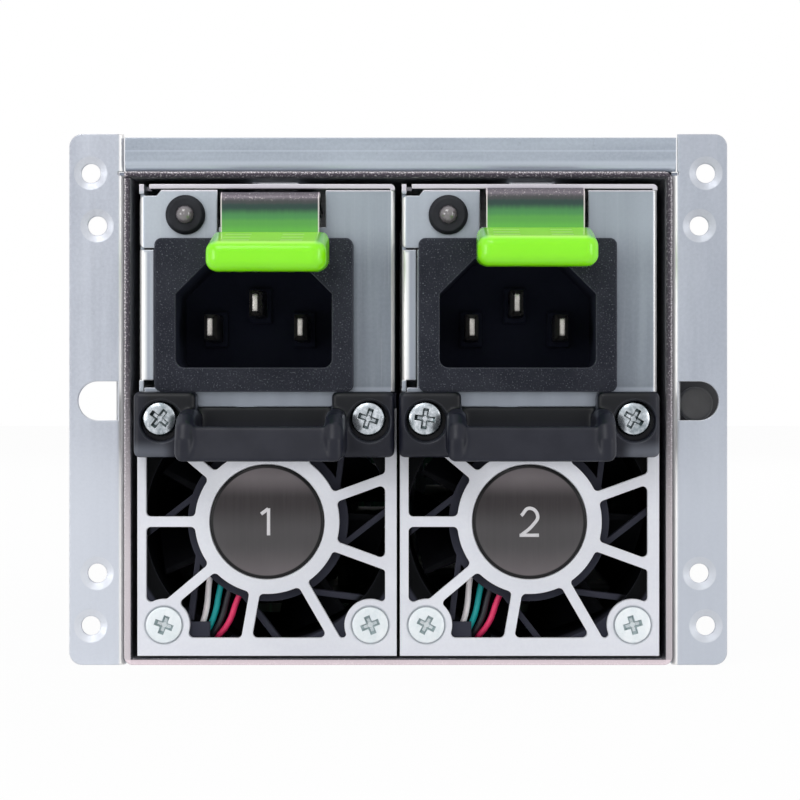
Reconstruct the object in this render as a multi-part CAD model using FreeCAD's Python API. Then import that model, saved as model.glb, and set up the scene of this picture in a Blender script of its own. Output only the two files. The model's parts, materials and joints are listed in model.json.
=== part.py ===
import FreeCAD, Part
import math
import os

# Redundant server power supply: a sheet-metal cage with two hot-swap modules side by side.
# Millimetres. X runs to the right and Z up, as seen by someone who pulls a module out.
# Y runs into the chassis, and y = 0 is the front face of the mounting flanges.
# The origin is the centre of the outer flange holes.

# ------------------------------------------------------------------ cage
SHEET = 1.0
CAGE_HALF_W = 42.5
CAGE_BOTTOM = -41.15
CAGE_TOP = 35.35
CAGE_DEPTH = 225.0
CAGE_BEND = 1.3
INNER_HALF_W = CAGE_HALF_W - SHEET
INNER_FLOOR = CAGE_BOTTOM + SHEET
INNER_ROOF = CAGE_TOP - SHEET

# ------------------------------------------------------------------ rear panel
OUTLET_HALF = (15.0, 8.5)
OUTLET_Z = -25.0
REAR_FLANGE = 12.0
PANEL_SCREW_Z = (-28.0, 24.0)
PANEL_SCREW_R = 1.25

# ------------------------------------------------------------------ flanges
FLANGE_HALF_W = 51.0
FLANGE_HALF_H = 41.15
FLANGE_CORNER = 2.0
TOP_FLANGE_TOP = 40.6
TOP_FLANGE_LEFT = -42.5
TOP_FLANGE_RIGHT = 43.2
SEAM = 0.12
BRACKET_DEPTH = 70.0
OUTER_HOLES = (47.7, 35.1)
INNER_HOLES = (46.7, 26.95)
FLANGE_HOLE_R = 1.5
DIMPLE_R = 2.6
DIMPLE_DEPTH = 0.4
D_HOLE_IN = 43.5
D_HOLE_OUT = 49.7
D_HOLE_HALF_H = 3.02
D_HOLE_Z = -0.2

# ------------------------------------------------------------------ module case
SIDES = {"left": -1, "right": 1}
BAY_X = 20.35
WALL = 0.7
CASE_HALF_W = 19.8
CASE_BOTTOM = -39.75
CASE_TOP = 33.4
CASE_DEPTH = 185.0
FLOOR_TOP = CASE_BOTTOM + WALL
ROOF_UNDER = CASE_TOP - WALL
WALL_IN = CASE_HALF_W - WALL
GAP = 0.25
CASE_BEND = 0.9
ROOF_BEND = 0.65
PLATE_LOW = -1.15
PLATE_LEFT = -17.4
PLATE_STEP = -7.45
STEP_Z = 23.2
FOOT_LEFT = -19.0
FOOT_TOP = 1.85
TIP_DEPTH = 4.8
TIP_NOTCH_RIGHT = -18.25
CASE_SCREW_X = -15.6
CASE_SCREW_Y = (62.0, 158.0)
CASE_SCREW_R = 1.2
CASE_HEAD_R = 2.3
LOW_HEAD_H = 0.45
TAB_UNDER = 30.4
VENT = 5.8
VENT_PITCH_X = 7.2
VENT_PITCH_Z = 10.4
VENT_LOW = -26.0

# ------------------------------------------------------------------ fan
FAN_Z = -18.95
FAN_HALF = 20.0
FAN_FRONT = 1.2
FAN_DEPTH = 28.0
FAN_BACK = FAN_FRONT + FAN_DEPTH
FAN_BORE_R = 19.0
FAN_HOLE = 16.0
HUB_R = 12.5
HUB_FRONT = 2.4
HUB_BACK = 4.8
STRUTS = 8
STRUT_START = 25.5
STRUT_SWEEP = 26.0
STRUT_ROOT = 1.6
STRUT_END = 1.1
LEAD_WALL = -11.95
LEAD_FLOOR = -38.2
LEAD_R = 0.47
LEAD_Y = 3.6
LEAD_BEND = 2.6
LEAD_EXITS = [(-9.3, -28.1), (-7.6, -29.3), (-6.35, -30.35), (-5.0, -31.4)]
SHAFT_R = 1.5
BEARING_R = 3.4
BEARING_BACK = 20.0
RUNNING_GAP = 0.05
BLADES = 7
BLADE_TIP_R = 18.4
SCREW_TOP_Z = FAN_Z + FAN_HOLE
SCREW_LOW_Z = FAN_Z - FAN_HOLE
SCREW_HOLE_R = 1.6
SHANK_R = 1.5
SHANK_END = 10.0

# ------------------------------------------------------------------ fan guard
GUARD_HALF_W = 20.1
GUARD_TOP = -1.4
WINDOW_LEFT = -18.75
WINDOW_RIGHT = 18.3
WINDOW_TOP = -5.2
WINDOW_BOTTOM = -36.97
RING_R = 11.2
PANE_CORNER = 0.75
TIGHT_CORNER = 0.55
BADGE_R = 8.85
SPOKES = 9
SPOKE_W = 1.6
SPOKE_START = 20.0
LOBE_R = 4.0
FLAT_SCREW_R = 2.9
BADGE_SEAT = 0.5
BADGE_PROUD = 0.2

# ------------------------------------------------------------------ inlet
INLET_X = -1.9
INLET_Z = 13.05
INLET_FLANGE = (30.6, 23.7)
INLET_CORNER = 1.1
INLET_BODY = (27.0, 19.8)
INLET_FRONT = -2.5
INLET_BACK = 18.0
CAVITY_HALF_W = 12.05
CAVITY_BOTTOM = 4.9
CAVITY_TOP = 21.7
CAVITY_CHAMFER = 5.4
CAVITY_FLOOR = 14.5
PIN_TIP = 0.3
PIN_TAPER = 1.6
PIN_TIP_HALF = (0.38, 1.33)
PIN_HALF = (1.0, 2.0)
PIN_END = 22.0
PINS = [(-7.0, -1.8), (7.0, -1.8), (0.0, 2.0)]

# ------------------------------------------------------------------ status light
LED_X = -12.6
LED_Z = 28.6
LED_R = 1.4
LED_HOLDER_R = 3.05
LED_NECK_R = 2.6
LIGHT_PLATE_LOW = 23.5
LIGHT_PLATE_STEP = 31.6
LIGHT_PLATE_TOP = 32.5

# ------------------------------------------------------------------ latch
LATCH_X = 0.75
SLOT_RIGHT = 9.1
SLOT_BOTTOM = 26.7
STRIP_HALF_W = 7.55
STRIP_TOP = 32.5
STRIP_T = 0.6
STRIP_FRONT = -4.9
STRIP_LOW = 21.85
STRIP_END = 44.4
NECK_HALF_W = 6.0
LATCH_HINGE_Y = 42.0
NOSE_HALF_W = 2.8
NOSE_Y = (10.5, 12.0, 16.0)
TAB_HALF_W = 9.05
TAB_FRONT = -16.0
TAB_BACK = -3.9
TAB_TOP_BACK = 26.3
TAB_TOP_FRONT = 24.2
TAB_BOTTOM = 19.95
TAB_BOTTOM_BACK = 21.5
TAB_CORNER = 2.2
TAB_LIP = 1.7
NOSE_TOP = 34.05
LATCH_DROOP = {"left": 0.84, "right": 0.0}
RIVET_R = 1.2
RIVET_HEAD_R = 2.1
RIVET_TAIL_R = 1.9
RIVET_TAIL_T = 0.4
RIVET_SLACK = 0.35
RIVET_X = (LATCH_X - 4.0, LATCH_X + 4.0)

# ------------------------------------------------------------------ handle
LUG_IN = 10.4
LUG_OUT = 20.0
LUG_TOP = 1.2
LUG_BOTTOM = -8.9
LUG_T = 5.0
WEB_T = 2.5
ARM_IN = 10.0
ARM_TOP = -1.55
ARM_ROUND = 1.2
BAR_HALF_W = 12.5
BAR_FRONT = -17.0
BAR_BACK = -12.0
BAR_TOP = -3.95
BAR_BOTTOM = -9.3
BAR_ROUND = 1.2
HANDLE_X = -0.2
RECESS_R = 3.1
RECESS_DROP = 0.4
RECESS_SEAT = -2.6
RECESS_LIP = 0.35
PAN_R = 2.7
PAN_H = 2.3
PAN_EDGE = 0.6

# ------------------------------------------------------------------ boards
BOARD_BOTTOM = -36.0
BOARD_T = 1.6
BOARD_TOP = BOARD_BOTTOM + BOARD_T
BOARD_FRONT = 38.0
FINGER_END = 194.0
FINGER_HALF_W = 15.0
SOCKET_FRONT = 186.5
SOCKET_BACK = 199.0
SINK_FRONT = 84.0
SINK_BACK = 150.0
SINK_BASE = (7.8, 9.8)
FIN_OUT = 16.6
FIN_PITCH = 4.6
FIN_T = 1.2

# ------------------------------------------------------------------ mute switch
BUTTON_X = 46.3
BUTTON_Z = -0.7
BUTTON_R = 2.68
BUTTON_FRONT = 1.6
BUTTON_STEM_R = 1.6


# ================================================================== helpers
def vec(x, y, z):
    return FreeCAD.Vector(x, y, z)


def block(x0, x1, y0, y1, z0, z1):
    """A box between two corners."""
    return Part.makeBox(x1 - x0, y1 - y0, z1 - z0, vec(x0, y0, z0))


def rod_x(y, z, radius, x0, x1):
    return Part.makeCylinder(radius, x1 - x0, vec(x0, y, z), vec(1, 0, 0))


def rod_y(x, z, radius, y0, y1):
    return Part.makeCylinder(radius, y1 - y0, vec(x, y0, z), vec(0, 1, 0))


def rod_z(x, y, radius, z0, z1):
    return Part.makeCylinder(radius, z1 - z0, vec(x, y, z0), vec(0, 0, 1))


def cone_y(x, z, r0, r1, y0, y1):
    """A cone frustum along Y, radius r0 at y0 and r1 at y1."""
    return Part.makeCone(r0, r1, y1 - y0, vec(x, y0, z), vec(0, 1, 0))


def front_outline(points, y0, y1):
    """Extrude an outline given in the X-Z plane from y0 to y1."""
    corners = [vec(x, y0, z) for x, z in points]
    face = Part.Face(Part.makePolygon(corners + corners[:1]))
    return face.extrude(vec(0, y1 - y0, 0))


def side_outline(points, x0, x1):
    """Extrude an outline given in the Y-Z plane from x0 to x1."""
    corners = [vec(x0, y, z) for y, z in points]
    face = Part.Face(Part.makePolygon(corners + corners[:1]))
    return face.extrude(vec(x1 - x0, 0, 0))


def plan_outline(points, z0, z1):
    """Extrude an outline given in the X-Y plane from z0 to z1."""
    corners = [vec(x, y, z0) for x, y in points]
    face = Part.Face(Part.makePolygon(corners + corners[:1]))
    return face.extrude(vec(0, 0, z1 - z0))


def fuse(pieces):
    """One solid from pieces that touch or overlap."""
    whole = pieces[0].fuse(pieces[1:]) if len(pieces) > 1 else pieces[0]
    return whole.removeSplitter()


def cut(shape, tools):
    return shape.cut(tools) if tools else shape


def edges_along(shape, axis, spots):
    """The straight edges along an axis (0, 1 or 2) that pass through the listed spots.

    A spot gives the two other coordinates in order, and None stands for any value.
    """
    others = [i for i in range(3) if i != axis]
    chosen = []
    for edge in shape.Edges:
        if edge.Curve.TypeId != "Part::GeomLine":
            continue
        a, b = edge.Vertexes[0].Point, edge.Vertexes[-1].Point
        if any(abs(a[i] - b[i]) > 1e-6 for i in others):
            continue
        for spot in spots:
            if all(s is None or abs(a[i] - s) < 1e-3 for i, s in zip(others, spot)):
                chosen.append(edge)
                break
    return chosen


def soften(shape, radius, axis, spots):
    """Round the edges along an axis at the listed spots."""
    return shape.makeFillet(radius, edges_along(shape, axis, spots))


def corners(x, z):
    """The four mirror images of a spot about the origin."""
    return [(-x, -z), (x, -z), (-x, z), (x, z)]


def group(pieces):
    """Separate solids that share one node."""
    return Part.makeCompound(pieces)


def routed_tube(points, bend, radius):
    """A round lead along straight runs joined by tangent arcs of one bend radius."""
    nodes = [vec(*p) for p in points]
    pieces = []
    start = nodes[0]
    for before, here, after in zip(nodes, nodes[1:], nodes[2:]):
        incoming = (here - before).normalize()
        outgoing = (after - here).normalize()
        turn = incoming.getAngle(outgoing)
        reach = bend * math.tan(turn / 2)
        enter = here - incoming * reach
        axis = incoming.cross(outgoing).normalize()
        centre = enter + axis.cross(incoming) * bend
        pieces.append(Part.makeCylinder(radius, enter.distanceToPoint(start), start, incoming))
        ring = Part.Face(Part.Wire(Part.makeCircle(radius, enter, incoming)))
        pieces.append(ring.revolve(centre, axis, math.degrees(turn)))
        start = here + outgoing * reach
    last = nodes[-1] - start
    pieces.append(Part.makeCylinder(radius, last.Length, start, last))
    return fuse(pieces)


# ================================================================== cage pieces
def cage_body():
    """The wrapped sheet: floor, two sides and roof, with its seam under the roof on the left."""
    outside = block(-CAGE_HALF_W, CAGE_HALF_W, 0, CAGE_DEPTH, CAGE_BOTTOM, CAGE_TOP)
    bends = [(-CAGE_HALF_W, CAGE_BOTTOM), (CAGE_HALF_W, CAGE_BOTTOM), (CAGE_HALF_W, CAGE_TOP)]
    outside = soften(outside, CAGE_BEND, 1, bends)
    inside = block(-INNER_HALF_W, INNER_HALF_W, 0, CAGE_DEPTH, INNER_FLOOR, INNER_ROOF)
    inner_bends = [(-INNER_HALF_W, INNER_FLOOR), (INNER_HALF_W, INNER_FLOOR), (INNER_HALF_W, INNER_ROOF)]
    inside = soften(inside, CAGE_BEND - SHEET, 1, inner_bends)
    seam = block(-CAGE_HALF_W, -INNER_HALF_W + 0.3, 0, CAGE_DEPTH, INNER_ROOF, INNER_ROOF + SEAM)
    tools = [inside, seam] + cage_rivet_shanks() + panel_screw_shanks()
    for side in SIDES.values():
        nose_x = side * BAY_X + LATCH_X
        tools.append(block(nose_x - 3.6, nose_x + 3.6, 8.0, 20.0, INNER_ROOF, CAGE_TOP))
    return cut(outside, tools)


def cage_rivet_spots():
    """Axis name and place of each rivet through a bracket and the cage."""
    spots = []
    for y in (25.0, 55.0):
        for side in (-1, 1):
            spots.append(("x", side, y, -30.0))
            spots.append(("x", side, y, 27.0))
            spots.append(("z", side * 30.0, y, None))
    return spots


def cage_rivet(spot, with_head):
    """One rivet: a shank through both sheets and a low head outside."""
    axis, side, y, z = spot
    shank, head, head_t = 1.2, 2.2, 0.8
    face = CAGE_HALF_W + SHEET
    if axis == "z":
        pieces = [rod_z(side, y, shank, INNER_ROOF, CAGE_TOP + SHEET)]
        if with_head:
            pieces.append(rod_z(side, y, head, CAGE_TOP + SHEET, CAGE_TOP + SHEET + head_t))
        return fuse(pieces)
    pieces = [rod_x(y, z, shank, INNER_HALF_W, face)]
    if with_head:
        pieces.append(rod_x(y, z, head, face, face + head_t))
    rivet = fuse(pieces)
    return rivet if side > 0 else rivet.mirror(vec(0, 0, 0), vec(1, 0, 0))


def cage_rivet_shanks():
    return [cage_rivet(spot, False) for spot in cage_rivet_spots()]


def cage_rivets():
    return group([cage_rivet(spot, True) for spot in cage_rivet_spots()])


def side_flange_bracket(side):
    """A side mounting flange bent from a long leg that is riveted to the cage."""
    wall_out = CAGE_HALF_W + SHEET
    ell = [
        (CAGE_HALF_W, 0), (FLANGE_HALF_W, 0), (FLANGE_HALF_W, SHEET),
        (wall_out, SHEET), (wall_out, BRACKET_DEPTH), (CAGE_HALF_W, BRACKET_DEPTH),
    ]
    body = plan_outline(ell, -FLANGE_HALF_H, FLANGE_HALF_H)
    body = soften(body, CAGE_BEND, 2, [(CAGE_HALF_W, 0)])
    body = soften(body, CAGE_BEND - SHEET, 2, [(wall_out, SHEET)])
    tips = [(FLANGE_HALF_W, -FLANGE_HALF_H), (FLANGE_HALF_W, FLANGE_HALF_H)]
    body = soften(body, FLANGE_CORNER, 1, tips)
    tools = []
    for x, z in (OUTER_HOLES, INNER_HOLES):
        for up in (-1, 1):
            tools.append(rod_y(x, up * z, FLANGE_HOLE_R, 0, SHEET))
            tools.append(cone_y(x, up * z, DIMPLE_R, FLANGE_HOLE_R, 0, DIMPLE_DEPTH))
    round_x = D_HOLE_OUT - D_HOLE_HALF_H
    tools.append(block(D_HOLE_IN, round_x, 0, SHEET, D_HOLE_Z - D_HOLE_HALF_H, D_HOLE_Z + D_HOLE_HALF_H))
    tools.append(rod_y(round_x, D_HOLE_Z, D_HOLE_HALF_H, 0, SHEET))
    seam_x = TOP_FLANGE_RIGHT if side > 0 else -TOP_FLANGE_LEFT
    tools.append(block(0, seam_x + SEAM, 0, BRACKET_DEPTH, CAGE_TOP, FLANGE_HALF_H))
    tools.append(block(0, wall_out + 0.1, SHEET, BRACKET_DEPTH, CAGE_TOP, FLANGE_HALF_H))
    tools.append(block(0, wall_out, 0, 2 * SHEET, CAGE_TOP - 0.6, CAGE_TOP))
    tools.append(block(0, wall_out, BRACKET_DEPTH - 8, BRACKET_DEPTH, CAGE_BOTTOM, CAGE_BOTTOM + 8))
    if side < 0:
        body = body.mirror(vec(0, 0, 0), vec(1, 0, 0))
        tools = [tool.mirror(vec(0, 0, 0), vec(1, 0, 0)) for tool in tools]
    return cut(body, tools + cage_rivet_shanks())


def top_flange_bracket():
    """The narrow flange above the bays, bent up from a leg that lies on the cage roof."""
    ell = [
        (0, CAGE_TOP), (BRACKET_DEPTH, CAGE_TOP), (BRACKET_DEPTH, CAGE_TOP + SHEET),
        (SHEET, CAGE_TOP + SHEET), (SHEET, TOP_FLANGE_TOP), (0, TOP_FLANGE_TOP),
    ]
    body = side_outline(ell, TOP_FLANGE_LEFT + SEAM, TOP_FLANGE_RIGHT - SEAM)
    body = soften(body, CAGE_BEND, 0, [(0, CAGE_TOP)])
    body = soften(body, CAGE_BEND - SHEET, 0, [(SHEET, CAGE_TOP + SHEET)])
    trim = block(CAGE_HALF_W, FLANGE_HALF_W, SHEET, BRACKET_DEPTH, CAGE_TOP, TOP_FLANGE_TOP)
    tools = [trim] + cage_rivet_shanks()
    for side in SIDES.values():
        nose_x = side * BAY_X + LATCH_X
        tools.append(block(nose_x - 3.6, nose_x + 3.6, 8.0, 20.0, CAGE_TOP, CAGE_TOP + SHEET))
    return cut(body, tools)


def bay_divider():
    """The thin sheet between the bays, set back behind the fans, with a lead-in at its front."""
    front, back, half_t, lead_in = 31.0, 186.0, 0.25, 6.0
    sheet = side_outline([
        (front, INNER_FLOOR + lead_in), (front + lead_in, INNER_FLOOR), (back, INNER_FLOOR),
        (back, INNER_ROOF), (front + lead_in, INNER_ROOF), (front, INNER_ROOF - lead_in),
    ], -half_t, half_t)
    holes = [rod_x(y, 0, 9.0, -half_t, half_t) for y in (70.0, 110.0, 150.0)]
    return cut(sheet, holes)


def rear_panel():
    """The closing sheet at the inner end, with air slots, a cable outlet and two side flanges."""
    back = CAGE_DEPTH
    plate = block(-INNER_HALF_W, INNER_HALF_W, back - SHEET, back, INNER_FLOOR, INNER_ROOF)
    plate = soften(plate, 0.5, 1, [(None, None)])
    flange_z0, flange_z1 = INNER_FLOOR + 2, INNER_ROOF - 2
    pieces = [plate]
    for side in (-1, 1):
        x0, x1 = sorted((side * INNER_HALF_W, side * (INNER_HALF_W - SHEET)))
        pieces.append(block(x0, x1, back - REAR_FLANGE, back - SHEET, flange_z0, flange_z1))
    body = fuse(pieces)
    slot_w, slot_h, pitch = 3.2, 15.0, 6.6
    tools = [outlet_hole(OUTLET_HALF, 3.0, back - SHEET, back)] + panel_screw_shanks()
    for row_z in (-9.0, 10.0):
        for column in range(11):
            x = (column - 5) * pitch
            tools.append(block(x - slot_w / 2, x + slot_w / 2, back - SHEET, back, row_z, row_z + slot_h))
    return cut(body, tools)



def outlet_hole(half, radius, y0, y1):
    """A rounded rectangle round the cable outlet's centre."""
    x, h = half
    body = block(-x, x, y0, y1, OUTLET_Z - h, OUTLET_Z + h)
    return soften(body, radius, 1, [(-x, None), (x, None)])


def cable_grommet():
    """A rubber ring with a lip on each face of the rear panel."""
    back = CAGE_DEPTH
    lip_w, lip_t, wall = 1.8, 1.4, 1.6
    lip = (OUTLET_HALF[0] + lip_w, OUTLET_HALF[1] + lip_w)
    inner = (OUTLET_HALF[0] - wall, OUTLET_HALF[1] - wall)
    ring = fuse([
        outlet_hole(lip, 4.0, back - SHEET - lip_t, back - SHEET),
        outlet_hole(OUTLET_HALF, 3.0, back - SHEET, back),
        outlet_hole(lip, 4.0, back, back + lip_t),
    ])
    return cut(ring, [outlet_hole(inner, 2.0, back - SHEET - lip_t, back + lip_t)])


def panel_screw(side, z, with_head):
    """A screw through the cage side into the rear panel's flange."""
    y = CAGE_DEPTH - 7.0
    pieces = [rod_x(y, z, PANEL_SCREW_R, INNER_HALF_W - SHEET, CAGE_HALF_W)]
    if with_head:
        pieces.append(rod_x(y, z, 2.5, CAGE_HALF_W, CAGE_HALF_W + 1.4))
    screw = fuse(pieces)
    return screw if side > 0 else screw.mirror(vec(0, 0, 0), vec(1, 0, 0))


def panel_screw_shanks():
    return [panel_screw(side, z, False) for side in (-1, 1) for z in PANEL_SCREW_Z]


def panel_screws():
    return group([panel_screw(side, z, True) for side in (-1, 1) for z in PANEL_SCREW_Z])


def backplane_board():
    """The low board that both modules plug into; air passes above it."""
    return block(-40.8, 40.8, SOCKET_BACK, SOCKET_BACK + BOARD_T, INNER_FLOOR, -12.0)


def module_sockets():
    """Two card-edge sockets on the backplane."""
    slot_gap = 0.3
    sockets = []
    for side in SIDES.values():
        x = side * BAY_X
        body = block(x - 18.0, x + 18.0, SOCKET_FRONT, SOCKET_BACK, -39.6, -30.5)
        slot = block(
            x - FINGER_HALF_W - 0.5, x + FINGER_HALF_W + 0.5, SOCKET_FRONT, FINGER_END + 1.5,
            BOARD_BOTTOM - slot_gap, BOARD_TOP + slot_gap,
        )
        sockets.append(cut(body, [slot]))
    return group(sockets)


def mute_switch_body():
    """The alarm-mute switch: a block on the cage side with a blind bore for its button."""
    front, back = 5.6, 14.0
    body = block(CAGE_HALF_W + SHEET, 50.4, front, back, BUTTON_Z - 4.0, BUTTON_Z + 4.0)
    bore = rod_y(BUTTON_X, BUTTON_Z, BUTTON_STEM_R + RUNNING_GAP, front, back - 2.5)
    legs = [rod_y(x, BUTTON_Z - 2.8, 0.4, back, back + 4.0) for x in (44.8, 47.8)]
    return fuse([cut(body, [bore])] + legs)


def mute_button():
    """A round cap on a stem, just behind the right flange's cut-out."""
    cap = rod_y(BUTTON_X, BUTTON_Z, BUTTON_R, BUTTON_FRONT, 3.7)
    rim = [edge for edge in cap.Edges if abs(edge.CenterOfMass.y - BUTTON_FRONT) < 1e-3]
    cap = cap.makeChamfer(0.3, rim)
    return fuse([cap, rod_y(BUTTON_X, BUTTON_Z, BUTTON_STEM_R, 3.7, 8.6)])


# ================================================================== module case
def fan_bay(y1):
    """The space that the fan takes out of the case walls."""
    return block(-30, 30, -1, y1, FLOOR_TOP, FAN_Z + FAN_HALF + 0.15)


def case_tray():
    """Floor, left wall with its bent front edges, and the vented inner end."""
    left, fold_low = -CASE_HALF_W, FOOT_TOP + 1.15
    wall = block(left, -WALL_IN, 0, CASE_DEPTH, FLOOR_TOP, ROOF_UNDER)
    pieces = [
        cut(wall, [fan_bay(FAN_BACK + 0.3)]),
        block(left, PLATE_LEFT - 0.15, 0, WALL, fold_low, STEP_Z),
        light_plate(),
        block(left, WALL_IN, FAN_FRONT, CASE_DEPTH, CASE_BOTTOM, FLOOR_TOP),
        block(left, -WALL_IN, 0, TIP_DEPTH, ROOF_UNDER, CASE_TOP),
        block(-WALL_IN, WALL_IN, CASE_DEPTH - WALL, CASE_DEPTH, FLOOR_TOP, ROOF_UNDER),
    ]
    for y in CASE_SCREW_Y:
        pieces.append(block(-WALL_IN, -13.0, y - 4, y + 4, ROOF_UNDER - WALL, ROOF_UNDER))
    body = fuse(pieces)
    tools = [rod_y(LED_X, LED_Z, LED_NECK_R, 0, WALL), bend_waste(-1, fold_low, LIGHT_PLATE_STEP)]
    tools += [corner_relief(LIGHT_PLATE_LOW, -1), corner_relief(LIGHT_PLATE_STEP, 1)]
    tools.append(block(
        -FINGER_HALF_W - 0.4, FINGER_HALF_W + 0.4, CASE_DEPTH - WALL, CASE_DEPTH,
        BOARD_BOTTOM - 0.2, BOARD_TOP + 0.2,
    ))
    for row in range(6):
        for column in range(-2, 3):
            x = column * VENT_PITCH_X
            z = VENT_LOW + row * VENT_PITCH_Z
            tools.append(block(x - VENT / 2, x + VENT / 2, CASE_DEPTH - WALL, CASE_DEPTH, z, z + VENT))
    return cut(body, tools + case_screw_shanks())


def bend_waste(side, z0, z1):
    """What the round outside of an upright bend takes off a front corner of the case."""
    x0, x1 = sorted((side * CASE_HALF_W, side * (CASE_HALF_W - CASE_BEND)))
    centre_x = side * (CASE_HALF_W - CASE_BEND)
    return cut(block(x0, x1, 0, CASE_BEND, z0, z1), [rod_z(centre_x, CASE_BEND, CASE_BEND, z0, z1)])


def light_plate():
    """The tab that the left wall turns in across the face, with a step in its top edge."""
    left, right, ramp = -CASE_HALF_W, PLATE_STEP - GAP, 0.7
    step_x = LED_X - 4.5
    return front_outline([
        (left, LIGHT_PLATE_LOW), (right, LIGHT_PLATE_LOW), (right, LIGHT_PLATE_TOP),
        (step_x + ramp, LIGHT_PLATE_TOP), (step_x, LIGHT_PLATE_STEP), (left, LIGHT_PLATE_STEP),
    ], 0, WALL)


def corner_relief(z, up):
    """The notch beyond one end of the light's tab, which leaves that corner of the tab round."""
    left, radius, depth = -CASE_HALF_W, CASE_BEND, 1.6
    z0, z1 = sorted((z - up * radius, z + up * 0.3))
    notch = block(left, left + radius, 0, depth, z0, z1)
    return cut(notch, [rod_y(left + radius, z - up * radius, radius, 0, depth)])


def case_screw_shanks():
    return [rod_z(CASE_SCREW_X, y, CASE_SCREW_R, TAB_UNDER, CASE_TOP) for y in CASE_SCREW_Y]


def case_screws():
    """Low-head screws that hold the cover on the tray's tabs."""
    heads = [rod_z(CASE_SCREW_X, y, CASE_HEAD_R, CASE_TOP, CASE_TOP + LOW_HEAD_H) for y in CASE_SCREW_Y]
    return group([fuse([head, shank]) for head, shank in zip(heads, case_screw_shanks())])


def case_cover():
    """Roof, right wall and the upper front plate in one folded sheet."""
    right, plate_top, notch_z = CASE_HALF_W, ROOF_UNDER - GAP, PLATE_LOW - 0.25
    plate = front_outline([
        (FOOT_LEFT, PLATE_LOW), (-4.9, PLATE_LOW), (-4.6, notch_z), (-2.1, notch_z), (-1.8, PLATE_LOW),
        (right, PLATE_LOW), (right, plate_top), (PLATE_STEP, plate_top), (PLATE_STEP, STEP_Z),
        (PLATE_LEFT, STEP_Z), (PLATE_LEFT, FOOT_TOP), (FOOT_LEFT, FOOT_TOP),
    ], 0, WALL)
    wall = cut(block(WALL_IN, right, 0, CASE_DEPTH, CASE_BOTTOM, ROOF_UNDER), [fan_bay(FAN_BACK + 0.3)])
    front = fuse([wall, cut(plate, [block(WALL_IN, right, 0, WALL, -2, FAN_Z + FAN_HALF + 0.15)])])
    front = cut(front, [block(-30, 30, -1, FAN_FRONT, CASE_BOTTOM, -1.5), bend_waste(1, -1.5, plate_top)])
    body = fuse([front, block(-right, right, 0, CASE_DEPTH, ROOF_UNDER, CASE_TOP)])
    body = soften(body, ROOF_BEND, 1, [(right, CASE_TOP)])
    half_w, half_h = INLET_BODY[0] / 2, INLET_BODY[1] / 2
    tools = [
        block(-right, TIP_NOTCH_RIGHT, 0, TIP_DEPTH + 0.2, ROOF_UNDER, CASE_TOP),
        block(INLET_X - half_w, INLET_X + half_w, 0, WALL, INLET_Z - half_h, INLET_Z + half_h),
        block(PLATE_STEP, SLOT_RIGHT, 0, WALL, SLOT_BOTTOM, ROOF_UNDER),
        block(LATCH_X - 3.2, LATCH_X + 3.2, 8.0, 19.0, ROOF_UNDER, CASE_TOP),
    ]
    tools += [latch_rivet_shank(x) for x in RIVET_X] + case_screw_shanks()
    return cut(body, tools)


# ================================================================== fan
def fan_guard():
    """The spoked finger guard: nine spokes from a round hub plate to the rim."""
    plate = block(-GUARD_HALF_W, GUARD_HALF_W, 0, FAN_FRONT, CASE_BOTTOM, GUARD_TOP)
    window = block(WINDOW_LEFT, WINDOW_RIGHT, 0, FAN_FRONT, WINDOW_BOTTOM, WINDOW_TOP)
    keep = [rod_y(0, FAN_Z, RING_R, 0, FAN_FRONT)]
    for index in range(SPOKES):
        angle = SPOKE_START + index * 360.0 / SPOKES
        spoke = block(0, 40, 0, FAN_FRONT, -SPOKE_W / 2, SPOKE_W / 2)
        spoke.rotate(vec(0, 0, 0), vec(0, -1, 0), angle)
        spoke.translate(vec(0, 0, FAN_Z))
        keep.append(spoke)
    for side in (-1, 1):
        keep.append(rod_y(side * FAN_HOLE, SCREW_LOW_Z, LOBE_R, 0, FAN_FRONT))
    openings = []
    for pane in window.cut(keep).Solids:
        openings.append(rounded_pane(pane))
    tools = openings + [rod_y(0, FAN_Z, BADGE_R + 0.1, 0, BADGE_SEAT)]
    for side in (-1, 1):
        tools.append(rod_y(side * FAN_HOLE, SCREW_TOP_Z, SCREW_HOLE_R, 0, FAN_FRONT))
        tools.append(cone_y(side * FAN_HOLE, SCREW_LOW_Z, 3.1, SCREW_HOLE_R, 0, FAN_FRONT))
    return cut(plate, tools)


def rounded_pane(pane):
    """One window of the guard with rounded corners, tighter in the one beside the right-hand lobe."""
    beside_lobe = pane.CenterOfMass.x > WINDOW_RIGHT / 2 and pane.CenterOfMass.z < FAN_Z - HUB_R / 2
    upright = [e for e in pane.Edges if abs(e.Vertexes[0].Point.y - e.Vertexes[-1].Point.y) > 1.0]
    return pane.makeFillet(TIGHT_CORNER if beside_lobe else PANE_CORNER, upright)


def guard_badge():
    """The round disc set in the guard's hub plate."""
    disc = rod_y(0, FAN_Z, BADGE_R, -BADGE_PROUD, BADGE_SEAT)
    rim = [edge for edge in disc.Edges if abs(edge.CenterOfMass.y + BADGE_PROUD) < 1e-3]
    return disc.makeChamfer(0.15, rim)


def fan_strut(angle):
    """One thin swept strut from the hub plate to the frame."""
    sweep = math.radians(STRUT_SWEEP)
    start = math.radians(angle)
    points = []
    ends = ((HUB_R - 0.5, start, STRUT_ROOT / 2), (FAN_BORE_R + 0.4, start + sweep, -STRUT_END / 2))
    for radius, centre, half in ends:
        for sign in (-1, 1):
            a = centre + sign * half / radius
            points.append((radius * math.cos(a), FAN_Z + radius * math.sin(a)))
    return front_outline(points, HUB_FRONT, HUB_BACK)


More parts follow.
